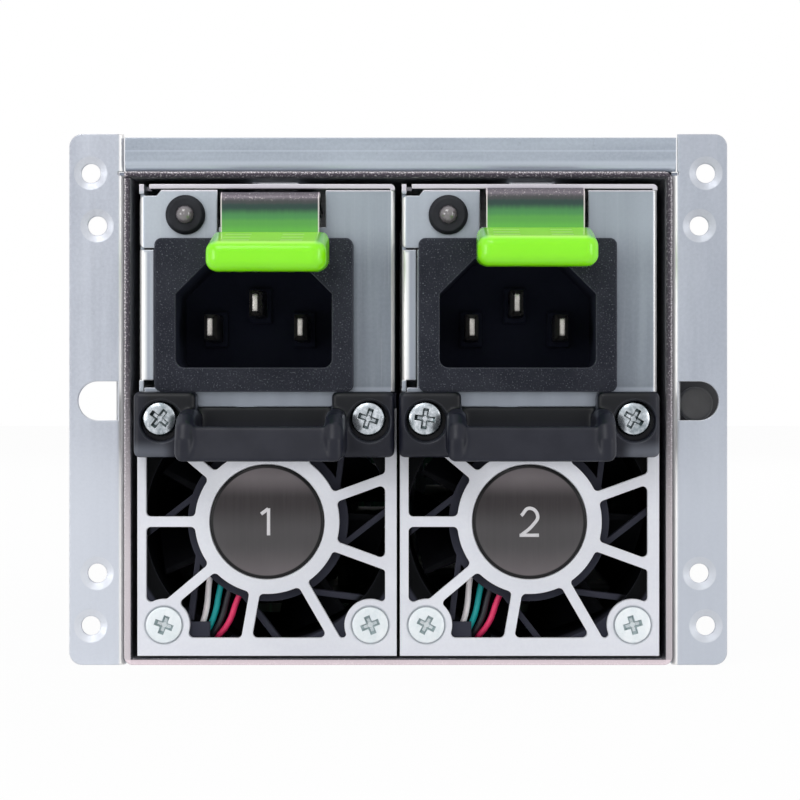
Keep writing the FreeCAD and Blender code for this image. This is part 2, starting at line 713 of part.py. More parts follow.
def fan_frame():
    """Square frame with a round duct, the hub plate on its struts and the bearing tube."""
    body = block(-FAN_HALF, FAN_HALF, FAN_FRONT, FAN_BACK, FAN_Z - FAN_HALF, FAN_Z + FAN_HALF)
    tools = [rod_y(0, FAN_Z, FAN_BORE_R, FAN_FRONT, FAN_BACK)]
    for x, z in corners(FAN_HOLE, FAN_HOLE):
        tools.append(rod_y(x, FAN_Z + z, SCREW_HOLE_R, FAN_FRONT, FAN_BACK))
    tools.append(block(LEAD_WALL, -5.9, FAN_FRONT, 9.0, LEAD_FLOOR, -33.0))
    tools.append(block(LEAD_WALL, -7.25, 9.0, FAN_BACK, LEAD_FLOOR, -36.85))
    pieces = [cut(body, tools), rod_y(0, FAN_Z, HUB_R, HUB_FRONT, HUB_BACK)]
    for index in range(STRUTS):
        pieces.append(fan_strut(STRUT_START + index * 360.0 / STRUTS))
    pieces.append(rod_y(0, FAN_Z, BEARING_R, HUB_BACK, BEARING_BACK))
    pieces.append(block(LEAD_WALL - 0.5, -9.0, FAN_FRONT + 0.2, 2.7, -37.0, -34.6))
    bore = rod_y(0, FAN_Z, SHAFT_R + RUNNING_GAP, HUB_BACK, BEARING_BACK)
    return cut(fuse(pieces), [bore])


def blade_section(radius, half_span, camber, thickness, lean):
    """A curved plate section across the air stream at one radius, as a closed wire."""
    front, back = 6.4, 25.0
    middle = (front + back) / 2
    outline = []
    for offset in (-thickness / 2, thickness / 2):
        a = vec(lean - half_span + offset, front, radius)
        m = vec(lean + camber + offset, middle, radius)
        b = vec(lean + half_span + offset, back, radius)
        outline.append((a, m, b))
    (a0, m0, b0), (a1, m1, b1) = outline
    return Part.Wire([
        Part.Arc(a0, m0, b0).toShape(),
        Part.LineSegment(b0, b1).toShape(),
        Part.Arc(b1, m1, a1).toShape(),
        Part.LineSegment(a1, a0).toShape(),
    ])


def fan_blade(index):
    """One twisted blade, lofted from its root to its tip and turned to its place."""
    root = blade_section(11.4, 3.2, 1.5, 1.2, 0.0)
    tip = blade_section(BLADE_TIP_R - 0.6, 6.6, 2.4, 0.8, 2.2)
    blade = Part.makeLoft([root, tip], True, True)
    blade.rotate(vec(0, 0, 0), vec(0, 1, 0), index * 360.0 / BLADES)
    blade.translate(vec(0, 0, FAN_Z))
    return blade


def fan_rotor():
    """Hub cup with its blades, and the shaft that runs in the bearing tube."""
    hub_r, hub_front, hub_back, wall = 12.2, 5.4, 26.4, 1.2
    hub = rod_y(0, FAN_Z, hub_r, hub_front, hub_back)
    hollow = rod_y(0, FAN_Z, hub_r - wall, hub_front, hub_back - wall)
    trim = cut(rod_y(0, FAN_Z, 40, 0, 40), [rod_y(0, FAN_Z, BLADE_TIP_R, 0, 40)])
    blades = [cut(fan_blade(index), [trim, hollow]) for index in range(BLADES)]
    shaft = rod_y(0, FAN_Z, SHAFT_R, HUB_BACK + 0.4, hub_back - wall)
    return fuse([cut(hub, [hollow]), shaft] + blades)


def fan_leads():
    """Four leads from the hub plate's rim, down between two struts and back along the frame's channel."""
    hub = rod_y(0, FAN_Z, HUB_R, 0, 10)
    pitch = 1.02
    leads = []
    for index, (x, z) in enumerate(LEAD_EXITS):
        channel_x = LEAD_WALL + 0.55 + index * pitch
        corner = (channel_x, LEAD_Y, LEAD_FLOOR + 0.65)
        start = (x + (x - channel_x) * 0.2, LEAD_Y, z + (z - corner[2]) * 0.2)
        end = (channel_x, BOARD_FRONT - 2, corner[2])
        leads.append(cut(routed_tube([start, corner, end], LEAD_BEND, LEAD_R), [hub]))
    return group(leads)


def fan_screws():
    """The two countersunk screws at the guard's lower corners."""
    screws = []
    for side in (-1, 1):
        x = side * FAN_HOLE
        head = cone_y(x, SCREW_LOW_Z, FLAT_SCREW_R, SHANK_R, 0.05, FAN_FRONT)
        cap = rod_y(x, SCREW_LOW_Z, FLAT_SCREW_R, -0.35, 0.05)
        screws.append(fuse([cap, head, rod_y(x, SCREW_LOW_Z, SHANK_R, FAN_FRONT, SHANK_END)]))
    return group(screws)


# ================================================================== handle
def handle_arm(side):
    """One arm from the lug out to the bar; its rounded top edge falls towards the bar."""
    back, front = -0.5, BAR_FRONT + 2
    fall = (ARM_TOP - BAR_TOP) / (back - BAR_BACK)
    arm = side_outline([
        (back, ARM_TOP), (front, ARM_TOP - fall * (back - front)), (front, BAR_BOTTOM + 0.6),
        (BAR_BACK, BAR_BOTTOM), (-LUG_T, LUG_BOTTOM), (back, LUG_BOTTOM),
    ], ARM_IN, BAR_HALF_W)
    long_edges = [e for e in arm.Edges if e.BoundBox.XLength < 1e-3 < e.BoundBox.YLength]
    top = [e for e in long_edges if e.BoundBox.ZMin > BAR_TOP - 2]
    arm = arm.makeFillet(ARM_ROUND, top)
    return arm if side > 0 else arm.mirror(vec(0, 0, 0), vec(1, 0, 0))


def handle_lug(side):
    """A flat ear at one end of the handle, rounded on its outer corners."""
    lug = block(LUG_IN, LUG_OUT, -LUG_T, 0, LUG_BOTTOM, LUG_TOP)
    lug = soften(lug, 1.4, 1, [(LUG_OUT, LUG_TOP), (LUG_OUT, LUG_BOTTOM)])
    front = [e for e in lug.Edges if e.BoundBox.YMax < 1e-3 - LUG_T]
    lug = lug.makeFillet(0.5, [e for e in front if e.BoundBox.XMax > LUG_IN + 0.1])
    return lug if side > 0 else lug.mirror(vec(0, 0, 0), vec(1, 0, 0))


def grip_bar():
    """The bar across the handle, rounded on its front, its ends and its back edges."""
    bar = block(-BAR_HALF_W, BAR_HALF_W, BAR_FRONT, BAR_BACK, BAR_BOTTOM, BAR_TOP)
    edges = edges_along(bar, 0, [(BAR_FRONT, None), (BAR_BACK, None)])
    edges += edges_along(bar, 2, [(-BAR_HALF_W, BAR_FRONT), (BAR_HALF_W, BAR_FRONT)])
    return bar.makeFillet(BAR_ROUND, edges)


def pull_handle():
    """The moulded handle: two screwed lugs, a web between them, two arms and the grip bar."""
    web = block(-LUG_IN, LUG_IN, -WEB_T, 0, -8.0, -1.15)
    pieces = [grip_bar(), web]
    for side in (-1, 1):
        pieces += [handle_lug(side), handle_arm(side)]
    body = fuse(pieces)
    body.translate(vec(HANDLE_X, 0, 0))
    recess_z = SCREW_TOP_Z - RECESS_DROP
    tools = []
    for side in (-1, 1):
        x = side * FAN_HOLE
        tools.append(rod_y(x, recess_z, RECESS_R, -LUG_T, RECESS_SEAT))
        tools.append(cone_y(x, recess_z, RECESS_R + RECESS_LIP, RECESS_R, -LUG_T, -LUG_T + RECESS_LIP))
        tools.append(rod_y(x, SCREW_TOP_Z, SCREW_HOLE_R, RECESS_SEAT, 0))
    return cut(body, tools)


def handle_screws():
    """The two pan-head screws in the handle's lugs."""
    screws = []
    for side in (-1, 1):
        x = side * FAN_HOLE
        head = rod_y(x, SCREW_TOP_Z, PAN_R, RECESS_SEAT - PAN_H, RECESS_SEAT)
        rim = [e for e in head.Edges if abs(e.CenterOfMass.y - RECESS_SEAT + PAN_H) < 1e-3]
        head = head.makeFillet(PAN_EDGE, rim)
        screws.append(fuse([head, rod_y(x, SCREW_TOP_Z, SHANK_R, RECESS_SEAT, SHANK_END - 1)]))
    return group(screws)


# ================================================================== inlet and light
def cavity(y0, y1):
    """The shaped socket space: two cut corners at the top, two small radii below."""
    left, right = INLET_X - CAVITY_HALF_W, INLET_X + CAVITY_HALF_W
    shape = front_outline([
        (left, CAVITY_BOTTOM), (right, CAVITY_BOTTOM), (right, CAVITY_TOP - CAVITY_CHAMFER),
        (right - CAVITY_CHAMFER, CAVITY_TOP), (left + CAVITY_CHAMFER, CAVITY_TOP),
        (left, CAVITY_TOP - CAVITY_CHAMFER),
    ], y0, y1)
    return soften(shape, 1.4, 1, [(left, CAVITY_BOTTOM), (right, CAVITY_BOTTOM)])


def inlet_shell():
    """The moulded inlet: front flange, body behind the panel, and the socket space."""
    half_w, half_h = INLET_FLANGE[0] / 2, INLET_FLANGE[1] / 2
    x0, x1, z0, z1 = INLET_X - half_w, INLET_X + half_w, INLET_Z - half_h, INLET_Z + half_h
    flange = block(x0, x1, INLET_FRONT, 0, z0, z1)
    flange = soften(flange, INLET_CORNER, 1, [(x0, None), (x1, None)])
    half_w, half_h = INLET_BODY[0] / 2, INLET_BODY[1] / 2
    body = block(INLET_X - half_w, INLET_X + half_w, 0, INLET_BACK, INLET_Z - half_h, INLET_Z + half_h)
    shell = cut(fuse([flange, body]), [cavity(INLET_FRONT, CAVITY_FLOOR)])
    pads = []
    for x, z in PINS:
        px, pz = INLET_X + x, INLET_Z + z
        pads.append(block(px - 1.8, px + 1.8, CAVITY_FLOOR - 1.5, CAVITY_FLOOR, pz - 2.8, pz + 2.8))
    return cut(fuse([shell] + pads), [inlet_blade(x, z) for x, z in PINS])


def inlet_blade(x, z):
    """One contact blade that narrows on all four sides to its tip."""
    px, pz = INLET_X + x, INLET_Z + z
    sections = []
    for y, (half_w, half_h) in ((PIN_TIP, PIN_TIP_HALF), (PIN_TIP + PIN_TAPER, PIN_HALF)):
        rim = [vec(px + i * half_w, y, pz + j * half_h) for i, j in ((-1, -1), (1, -1), (1, 1), (-1, 1))]
        sections.append(Part.makePolygon(rim + rim[:1]))
    tip = Part.makeLoft(sections, True, True)
    half_w, half_h = PIN_HALF
    body = block(px - half_w, px + half_w, PIN_TIP + PIN_TAPER, PIN_END, pz - half_h, pz + half_h)
    return fuse([tip, body])


def inlet_pins():
    return group([inlet_blade(x, z) for x, z in PINS])


def led_holder():
    """The bezel that clips the light into the left front tab."""
    flange = rod_y(LED_X, LED_Z, LED_HOLDER_R, -1.4, 0)
    rim = [e for e in flange.Edges if abs(e.CenterOfMass.y + 1.4) < 1e-3]
    flange = flange.makeChamfer(0.5, rim)
    body = fuse([flange, rod_y(LED_X, LED_Z, LED_NECK_R, 0, 5.5)])
    return cut(body, [rod_y(LED_X, LED_Z, LED_R, -1.4, 5.5)])


def led():
    """A clear round light with a domed tip."""
    body = rod_y(LED_X, LED_Z, LED_R, -1.4, 7.0)
    dome = Part.makeSphere(LED_R, vec(LED_X, -1.4, LED_Z), vec(0, -1, 0), 0, 90, 360)
    return fuse([body, dome])


# ================================================================== latch
def droop(shape, angle):
    """Turn a latch piece down about the line where the strip is riveted."""
    shape.rotate(vec(0, LATCH_HINGE_Y, STRIP_TOP - STRIP_T / 2), vec(1, 0, 0), angle)
    return shape


def latch_strip(angle):
    """The spring strip: riveted tail, catch nose, and the leg that carries the tab."""
    low = STRIP_TOP - STRIP_T
    outer, inner = STRIP_FRONT, STRIP_FRONT + STRIP_T
    leg = side_outline([
        (inner + 4, low), (inner, low), (inner, STRIP_LOW), (outer, STRIP_LOW), (outer, STRIP_TOP),
        (inner + 4, STRIP_TOP),
    ], LATCH_X - STRIP_HALF_W, LATCH_X + STRIP_HALF_W)
    leg = soften(leg, 1.3, 0, [(outer, STRIP_TOP)])
    leg = soften(leg, 0.7, 0, [(inner, low)])
    wide, narrow = inner + 4, inner + 7
    tail = plan_outline([
        (LATCH_X - STRIP_HALF_W, wide), (LATCH_X - NECK_HALF_W, narrow), (LATCH_X - NECK_HALF_W, STRIP_END),
        (LATCH_X + NECK_HALF_W, STRIP_END), (LATCH_X + NECK_HALF_W, narrow), (LATCH_X + STRIP_HALF_W, wide),
    ], low, STRIP_TOP)
    front, crest, back = NOSE_Y
    nose = side_outline([(front, STRIP_TOP), (front, NOSE_TOP), (crest, NOSE_TOP), (back, STRIP_TOP)],
                        LATCH_X - NOSE_HALF_W, LATCH_X + NOSE_HALF_W)
    body = fuse([leg, tail, nose])
    holes = [rod_z(x, LATCH_HINGE_Y, RIVET_R + 0.1, low, STRIP_TOP) for x in RIVET_X]
    return droop(cut(body, holes), angle)


def latch_tab(angle):
    """The moulded thumb tab: a thick rounded lip in front, with the strip's leg moulded in behind."""
    left, right = LATCH_X - TAB_HALF_W, LATCH_X + TAB_HALF_W
    body = side_outline([
        (TAB_BACK, TAB_TOP_BACK), (TAB_BACK - 1.6, TAB_TOP_BACK), (TAB_FRONT, TAB_TOP_FRONT),
        (TAB_FRONT, TAB_BOTTOM), (TAB_FRONT + 4.5, TAB_BOTTOM), (TAB_BACK - 1.5, TAB_BOTTOM_BACK),
        (TAB_BACK, TAB_BOTTOM_BACK),
    ], left, right)
    body = soften(body, TAB_CORNER, 2, [(left, TAB_FRONT), (right, TAB_FRONT)])
    lip = [e for e in body.Edges if e.CenterOfMass.y < TAB_FRONT + 1.5 and e.BoundBox.ZLength < 1.0]
    body = body.makeFillet(TAB_LIP, lip)
    pocket = block(
        LATCH_X - STRIP_HALF_W, LATCH_X + STRIP_HALF_W,
        STRIP_FRONT, STRIP_FRONT + STRIP_T, STRIP_LOW, 30.0,
    )
    return droop(cut(body, [pocket]), angle)


def latch_rivet_shank(x):
    foot = STRIP_TOP - STRIP_T - RIVET_SLACK - RIVET_TAIL_T
    return rod_z(x, LATCH_HINGE_Y, RIVET_R, foot, CASE_TOP)


def latch_rivets():
    """Two rivets that hold the strip under the roof."""
    under = STRIP_TOP - STRIP_T - RIVET_SLACK
    rivets = []
    for x in RIVET_X:
        head = rod_z(x, LATCH_HINGE_Y, RIVET_HEAD_R, CASE_TOP, CASE_TOP + LOW_HEAD_H)
        tail = rod_z(x, LATCH_HINGE_Y, RIVET_TAIL_R, under - RIVET_TAIL_T, under)
        rivets.append(fuse([latch_rivet_shank(x), head, tail]))
    return group(rivets)


# ================================================================== inside the module
def main_board():
    """The main board on its standoffs, with the plug-in edge and the fan connector."""
    pieces = [
        block(-18.3, 18.3, BOARD_FRONT, CASE_DEPTH - WALL - 0.3, BOARD_BOTTOM, BOARD_TOP),
        block(-FINGER_HALF_W, FINGER_HALF_W, CASE_DEPTH - 2, FINGER_END, BOARD_BOTTOM, BOARD_TOP),
        block(-12.6, -6.6, 36.0, 42.0, -38.6, BOARD_BOTTOM),
    ]
    for x in (-15.0, 15.0):
        for y in (46.0, 176.0):
            pieces.append(rod_z(x, y, 2.2, FLOOR_TOP, BOARD_BOTTOM))
    return fuse(pieces)


def heat_sinks():
    """Two finned aluminium extrusions along the board."""
    sinks = []
    base_in, base_out = SINK_BASE
    for side in (-1, 1):
        x0, x1 = sorted((side * base_in, side * base_out))
        f0, f1 = sorted((side * base_out, side * FIN_OUT))
        pieces = [block(x0, x1, SINK_FRONT, SINK_BACK, BOARD_TOP, 2.0)]
        for level in range(7):
            z = -28.0 + level * FIN_PITCH
            pieces.append(block(f0, f1, SINK_FRONT, SINK_BACK, z, z + FIN_T))
        sinks.append(fuse(pieces))
    return group(sinks)


def transformer():
    """The main transformer: a ferrite core round a wound bobbin."""
    core = block(-6.8, 6.8, 100.0, 130.0, BOARD_TOP, -8.0)
    window = block(-6.8, 6.8, 105.0, 125.0, -30.0, -12.5)
    winding = soften(block(-6.4, 6.4, 105.0, 125.0, -30.0, -12.5), 2.0, 1, [(None, None)])
    return fuse([cut(core, [window]), winding])


def bulk_capacitor():
    """The high-voltage capacitor, lying above the board."""
    body = rod_y(-6.5, 14.0, 11.0, 52.0, 92.0)
    rim = [e for e in body.Edges if e.Curve.TypeId == "Part::GeomCircle"]
    return body.makeChamfer(1.0, rim)


def line_filter():
    """The inlet board with its two suppression capacitors and common-mode choke."""
    board = block(-17.0, 15.0, PIN_END, PIN_END + BOARD_T, 2.4, 28.0)
    back = PIN_END + BOARD_T
    caps = [block(x, x + 6.0, back, back + 12.0, 4.0, 22.0) for x in (-16.0, -9.0)]
    choke = cut(rod_y(7.0, 13.0, 8.6, back, back + 6.0), [rod_y(7.0, 13.0, 3.6, back, back + 6.0)])
    return fuse([board, choke] + caps)


# ================================================================== assembly
def module_pieces(name):
    """Every piece of one module about its own centre line."""
    angle = LATCH_DROOP[name]
    return {
        "case_tray": case_tray(),
        "case_cover": case_cover(),
        "fan_guard": fan_guard(),
        "guard_badge": guard_badge(),
        "fan_frame": fan_frame(),
        "fan_rotor": fan_rotor(),
        "fan_leads": fan_leads(),
        "fan_screws": fan_screws(),
        "pull_handle": pull_handle(),
        "handle_screws": handle_screws(),
        "inlet_shell": inlet_shell(),
        "inlet_pins": inlet_pins(),
        "led_holder": led_holder(),
        "led": led(),
        "latch_strip": latch_strip(angle),
        "latch_tab": latch_tab(angle),
        "latch_rivets": latch_rivets(),
        "main_board": main_board(),
        "heat_sinks": heat_sinks(),
        "transformer": transformer(),
        "bulk_capacitor": bulk_capacitor(),
        "line_filter": line_filter(),
        "case_screws": case_screws(),
    }


def cage_pieces():
    return {
        "cage_body": cage_body(),
        "left_flange_bracket": side_flange_bracket(-1),
        "right_flange_bracket": side_flange_bracket(1),
        "top_flange_bracket": top_flange_bracket(),
        "cage_rivets": cage_rivets(),
        "bay_divider": bay_divider(),
        "rear_panel": rear_panel(),
        "panel_screws": panel_screws(),
        "cable_grommet": cable_grommet(),
        "backplane_board": backplane_board(),
        "module_sockets": module_sockets(),
        "mute_switch_body": mute_switch_body(),
        "mute_button": mute_button(),
    }


def main():
    os.makedirs("parts", exist_ok=True)
    nodes = dict(cage_pieces())
    for name, side in SIDES.items():
        for piece, shape in module_pieces(name).items():
            shape.translate(vec(side * BAY_X, 0, 0))
            nodes[name + "_" + piece] = shape
    for node, shape in nodes.items():
        shape.exportStep("parts/" + node + ".step")


main()
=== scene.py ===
import json
import logging
import math
from dataclasses import dataclass
from enum import Enum

import bmesh
import bpy
from mathutils import Matrix, Vector

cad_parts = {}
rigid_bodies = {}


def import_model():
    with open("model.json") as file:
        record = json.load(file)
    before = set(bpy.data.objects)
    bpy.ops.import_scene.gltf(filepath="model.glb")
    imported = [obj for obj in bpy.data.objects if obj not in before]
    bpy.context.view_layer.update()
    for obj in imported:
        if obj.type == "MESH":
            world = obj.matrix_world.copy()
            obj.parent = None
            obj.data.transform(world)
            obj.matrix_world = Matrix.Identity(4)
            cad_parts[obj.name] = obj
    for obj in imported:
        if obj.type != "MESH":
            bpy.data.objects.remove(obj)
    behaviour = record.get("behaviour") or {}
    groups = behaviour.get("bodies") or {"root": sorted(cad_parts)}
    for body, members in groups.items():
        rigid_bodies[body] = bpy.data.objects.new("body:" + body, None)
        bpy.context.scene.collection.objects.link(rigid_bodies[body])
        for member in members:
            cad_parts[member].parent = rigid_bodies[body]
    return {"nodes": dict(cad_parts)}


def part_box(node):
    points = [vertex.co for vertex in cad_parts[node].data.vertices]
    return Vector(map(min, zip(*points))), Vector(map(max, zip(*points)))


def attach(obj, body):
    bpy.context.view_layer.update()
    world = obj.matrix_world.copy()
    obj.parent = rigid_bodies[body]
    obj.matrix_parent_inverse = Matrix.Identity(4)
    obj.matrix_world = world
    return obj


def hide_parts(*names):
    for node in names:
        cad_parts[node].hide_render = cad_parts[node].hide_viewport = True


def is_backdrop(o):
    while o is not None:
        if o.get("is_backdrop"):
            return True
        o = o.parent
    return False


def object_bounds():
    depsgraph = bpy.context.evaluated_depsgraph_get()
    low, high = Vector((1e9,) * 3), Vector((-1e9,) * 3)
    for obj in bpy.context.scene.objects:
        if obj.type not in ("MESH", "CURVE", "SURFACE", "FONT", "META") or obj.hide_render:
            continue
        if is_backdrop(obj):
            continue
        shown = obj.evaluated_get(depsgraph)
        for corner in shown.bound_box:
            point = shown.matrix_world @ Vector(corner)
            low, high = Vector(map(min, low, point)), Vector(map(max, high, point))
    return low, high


LOG = logging.getLogger("power_supply")
MM = 0.001
LEAD_R = 0.47 * MM
LEAD_PITCH = 1.02 * MM
RELIEF = 0.0001
Colour = tuple[float, float, float]
Triple = tuple[float, float, float]
Span = tuple[float, float]
Socket = bpy.types.NodeSocket
Thing = bpy.types.Object


def paint(red: int, green: int, blue: int) -> Colour:
    """Turn an everyday 0 to 255 colour into the linear colour that a shader takes.

    Args:
        red: red part, 0 to 255.
        green: green part, 0 to 255.
        blue: blue part, 0 to 255.

    Returns:
        The linear red, green and blue.
    """
    def linear(part: int) -> float:
        """Undo the display curve of one part."""
        value = part / 255.0
        return value / 12.92 if value <= 0.04045 else ((value + 0.055) / 1.055) ** 2.4

    return linear(red), linear(green), linear(blue)


def rgba(colour: Colour) -> tuple[float, float, float, float]:
    """Return the colour with full alpha, as colour sockets take it."""
    return (*colour, 1.0)


# ------------------------------------------------------------------ node trees
class Graph:
    """Short calls for building one shader node tree."""

    def __init__(self, tree: bpy.types.NodeTree) -> None:
        """Start on the tree of a material, a world or a group, and drop the nodes it came with."""
        self.tree = tree
        tree.nodes.clear()

    def node(self, kind: str, values: dict | None = None, **settings: object) -> bpy.types.Node:
        """Add a node.

        Args:
            kind: the node's type name, without "ShaderNode".
            values: a value or an output socket for each input, by name or number.
            settings: the node's own settings.

        Returns:
            The new node.
        """
        made = self.tree.nodes.new("ShaderNode" + kind)
        for name, value in settings.items():
            setattr(made, name, value)
        for socket, value in (values or {}).items():
            self.feed(made.inputs[socket], value)
        return made

    def feed(self, socket: Socket, value: object) -> None:
        """Link an output to the socket, or set the socket's own value.

        Args:
            socket: the input.
            value: an output to link, or the input's own value.
        """
        if isinstance(value, Socket):
            self.tree.links.new(value, socket)
        else:
            socket.default_value = value

    def sum(self, operation: str, first: object, second: object = 0.0) -> Socket:
        """Return the result of a Math node with two inputs."""
        return self.node("Math", {0: first, 1: second}, operation=operation).outputs[0]

    def times(self, first: object, second: object) -> Socket:
        """Return the product of two values."""
        return self.sum("MULTIPLY", first, second)

    def ramp(self, value: object, low: object, high: object, out_low: float = 0.0,
             out_high: float = 1.0) -> Socket:
        """Map a value smoothly from low..high to out_low..out_high, level beyond both ends.

        Args:
            value: the value to map.
            low: where the rise starts.
            high: where it ends.
            out_low: the result at and below low.
            out_high: the result at and above high.

        Returns:
            The mapped value.
        """
        return self.node("MapRange", {"Value": value, "From Min": low, "From Max": high,
                                      "To Min": out_low, "To Max": out_high},
                         interpolation_type="SMOOTHSTEP").outputs["Result"]

    def band(self, value: object, low: float, high: float, soft: float) -> Socket:
        """Return 1 between low and high, falling to 0 over twice soft at each end."""
        return self.times(self.ramp(value, low - soft, low + soft),
                          self.ramp(value, high - soft, high + soft, 1.0, 0.0))

    def mix(self, share: object, first: object, second: object) -> Socket:
        """Mix two colours.

        Args:
            share: how much of the second, 0 to 1.
            first: a colour or a socket.
            second: a colour or a socket.

        Returns:
            The mixed colour.
        """
        made = self.node("Mix", data_type="RGBA")
        self.feed(made.inputs[0], share)
        for index, colour in ((6, first), (7, second)):
            self.feed(made.inputs[index], colour if isinstance(colour, Socket) else rgba(colour))
        return made.outputs[2]

    def lay(self, mask: object, share: object, below: object, tone: object) -> Socket:
        """Mix a share of a tone over the colour below it, where the mask is 1."""
        return self.mix(self.times(mask, share), below, tone)

    def place(self) -> Socket:
        """Return the Object coordinates."""
        return self.node("TexCoord").outputs["Object"]

    def axis(self, name: str) -> Socket:
        """Return one Object coordinate, in metres."""
        return self.node("SeparateXYZ", {0: self.place()}).outputs[name]

    def facing(self, name: str) -> Socket:
        """Return one part of the surface's own direction."""
        return self.node("SeparateXYZ", {0: self.node("NewGeometry").outputs["Normal"]}).outputs[name]

    def aside(self, spacing: float, shift: float = 0.0) -> Socket:
        """Return X from a line in whichever module the point belongs to.

        Args:
            spacing: how far each module's middle line lies from the object's.
            shift: how far the wanted line lies to the right of that middle line.

        Returns:
            The distance, in metres.
        """
        x = self.axis("X")
        middle = self.times(self.sum("SIGN", x), spacing)
        return self.sum("SUBTRACT", self.sum("SUBTRACT", x, middle), shift)

    def reach(self, up: Socket, aside: Socket) -> Socket:
        """Return the distance from an axis along Y, out of its two parts."""
        return self.sum("SQRT", self.sum("ADD", self.times(up, up), self.times(aside, aside)))


class EffectGroup(Graph):
    """A shader node group with named inputs and outputs."""

    def __init__(self, name: str, inputs: dict[str, float | Triple], outputs: tuple[str, ...]) -> None:
        """Make the group and its sockets.

        Args:
            name: the group's name.
            inputs: the starting value of each input; a number or three numbers.
            outputs: the outputs' names; all are numbers but Normal.
        """
        super().__init__(bpy.data.node_groups.new(name, "ShaderNodeTree"))
        for label, value in inputs.items():
            kind = "Float" if isinstance(value, float) else "Vector"
            self.tree.interface.new_socket(label, in_out="INPUT",
                                           socket_type="NodeSocket" + kind).default_value = value
        for label in outputs:
            kind = "Vector" if label == "Normal" else "Float"
            self.tree.interface.new_socket(label, in_out="OUTPUT", socket_type="NodeSocket" + kind)
        self.given = self.tree.nodes.new("NodeGroupInput").outputs
        self.result = self.tree.nodes.new("NodeGroupOutput").inputs

    def put(self, **sockets: Socket) -> bpy.types.NodeTree:
        """Send each socket out under its name and return the group's tree.

        Args:
            sockets: one socket for each of the group's outputs.

        Returns:
            The group's tree.
        """
        for label, socket in sockets.items():
            self.tree.links.new(socket, self.result[label])
        return self.tree

    def noise(self, detail: object, roughness: float) -> Socket:
        """Return noise stretched by the group's Repeats and cut between its Low and High.

        Args:
            detail: the number of finer layers.
            roughness: how strong the finer layers are.

        Returns:
            The mask, 0 to 1.
        """
        stretched = self.node("VectorMath", {0: self.place(), 1: self.given["Repeats"]},
                              operation="MULTIPLY").outputs[0]
        noise = self.node("TexNoise", {"Vector": stretched, "Scale": 1.0, "Detail": detail,
                                       "Roughness": roughness}).outputs["Fac"]
        return self.ramp(noise, self.given["Low"], self.given["High"])


class Effects:
    """The effects that several finishes share, each built once."""

    def __init__(self) -> None:
        """Build every group."""
        self.clouds = self._clouds()
        self.edges = self._edges()
        self.grain = self._grain()
        self.scratches = self._scratches()

    def _clouds(self) -> bpy.types.NodeTree:
        """Soft patches, round or drawn out along one axis.

        Returns:
            The group's tree.
        """
        group = EffectGroup("soft_clouds", {"Repeats": (100.0, 100.0, 100.0), "Detail": 3.0,
                                            "Low": 0.3, "High": 0.7}, ("Mask",))
        return group.put(Mask=group.noise(group.given["Detail"], 0.55))

    def _edges(self) -> bpy.types.NodeTree:
        """A softened edge, and a mask of where edges are; most finishes lay a painted highlight through the
        mask, the contact blades a painted shade and the board its own edge colour.

        Returns:
            The group's tree.
        """
        group = EffectGroup("softened_edges", {"Radius": 0.0003, "Low": 0.02, "High": 0.25}, ("Normal", "Mask"))
        soft = group.node("Bevel", {"Radius": group.given["Radius"]}, samples=6).outputs[0]
        flat = group.node("NewGeometry").outputs["Normal"]
        turn = group.node("VectorMath", {0: soft, 1: flat}, operation="DOT_PRODUCT").outputs["Value"]
        away = group.sum("SUBTRACT", 1.0, turn)
        return group.put(Normal=soft, Mask=group.ramp(away, group.given["Low"], group.given["High"]))

    def _grain(self) -> bpy.types.NodeTree:
        """A fine pebbled texture with scattered bright flecks.

        Returns:
            The group's tree.
        """
        group = EffectGroup("pebbled_grain", {"Repeats": 4000.0, "Low": 0.62, "High": 0.72},
                            ("Height", "Flecks"))
        at = {"Vector": group.place(), "Scale": group.given["Repeats"]}
        cells = group.node("TexVoronoi", at, feature="SMOOTH_F1").outputs["Distance"]
        fine = group.node("TexNoise", {**at, "Detail": 2.0, "Roughness": 0.6}).outputs["Fac"]
        return group.put(Height=group.sum("ADD", cells, fine),
                         Flecks=group.ramp(fine, group.given["Low"], group.given["High"]))

    def _scratches(self) -> bpy.types.NodeTree:
        """Sparse fine lines along one axis.

        Returns:
            The group's tree.
        """
        group = EffectGroup("fine_lines", {"Repeats": (3000.0, 3000.0, 40.0), "Low": 0.6, "High": 0.75},
                            ("Mask",))
        return group.put(Mask=group.noise(1.0, 0.5))


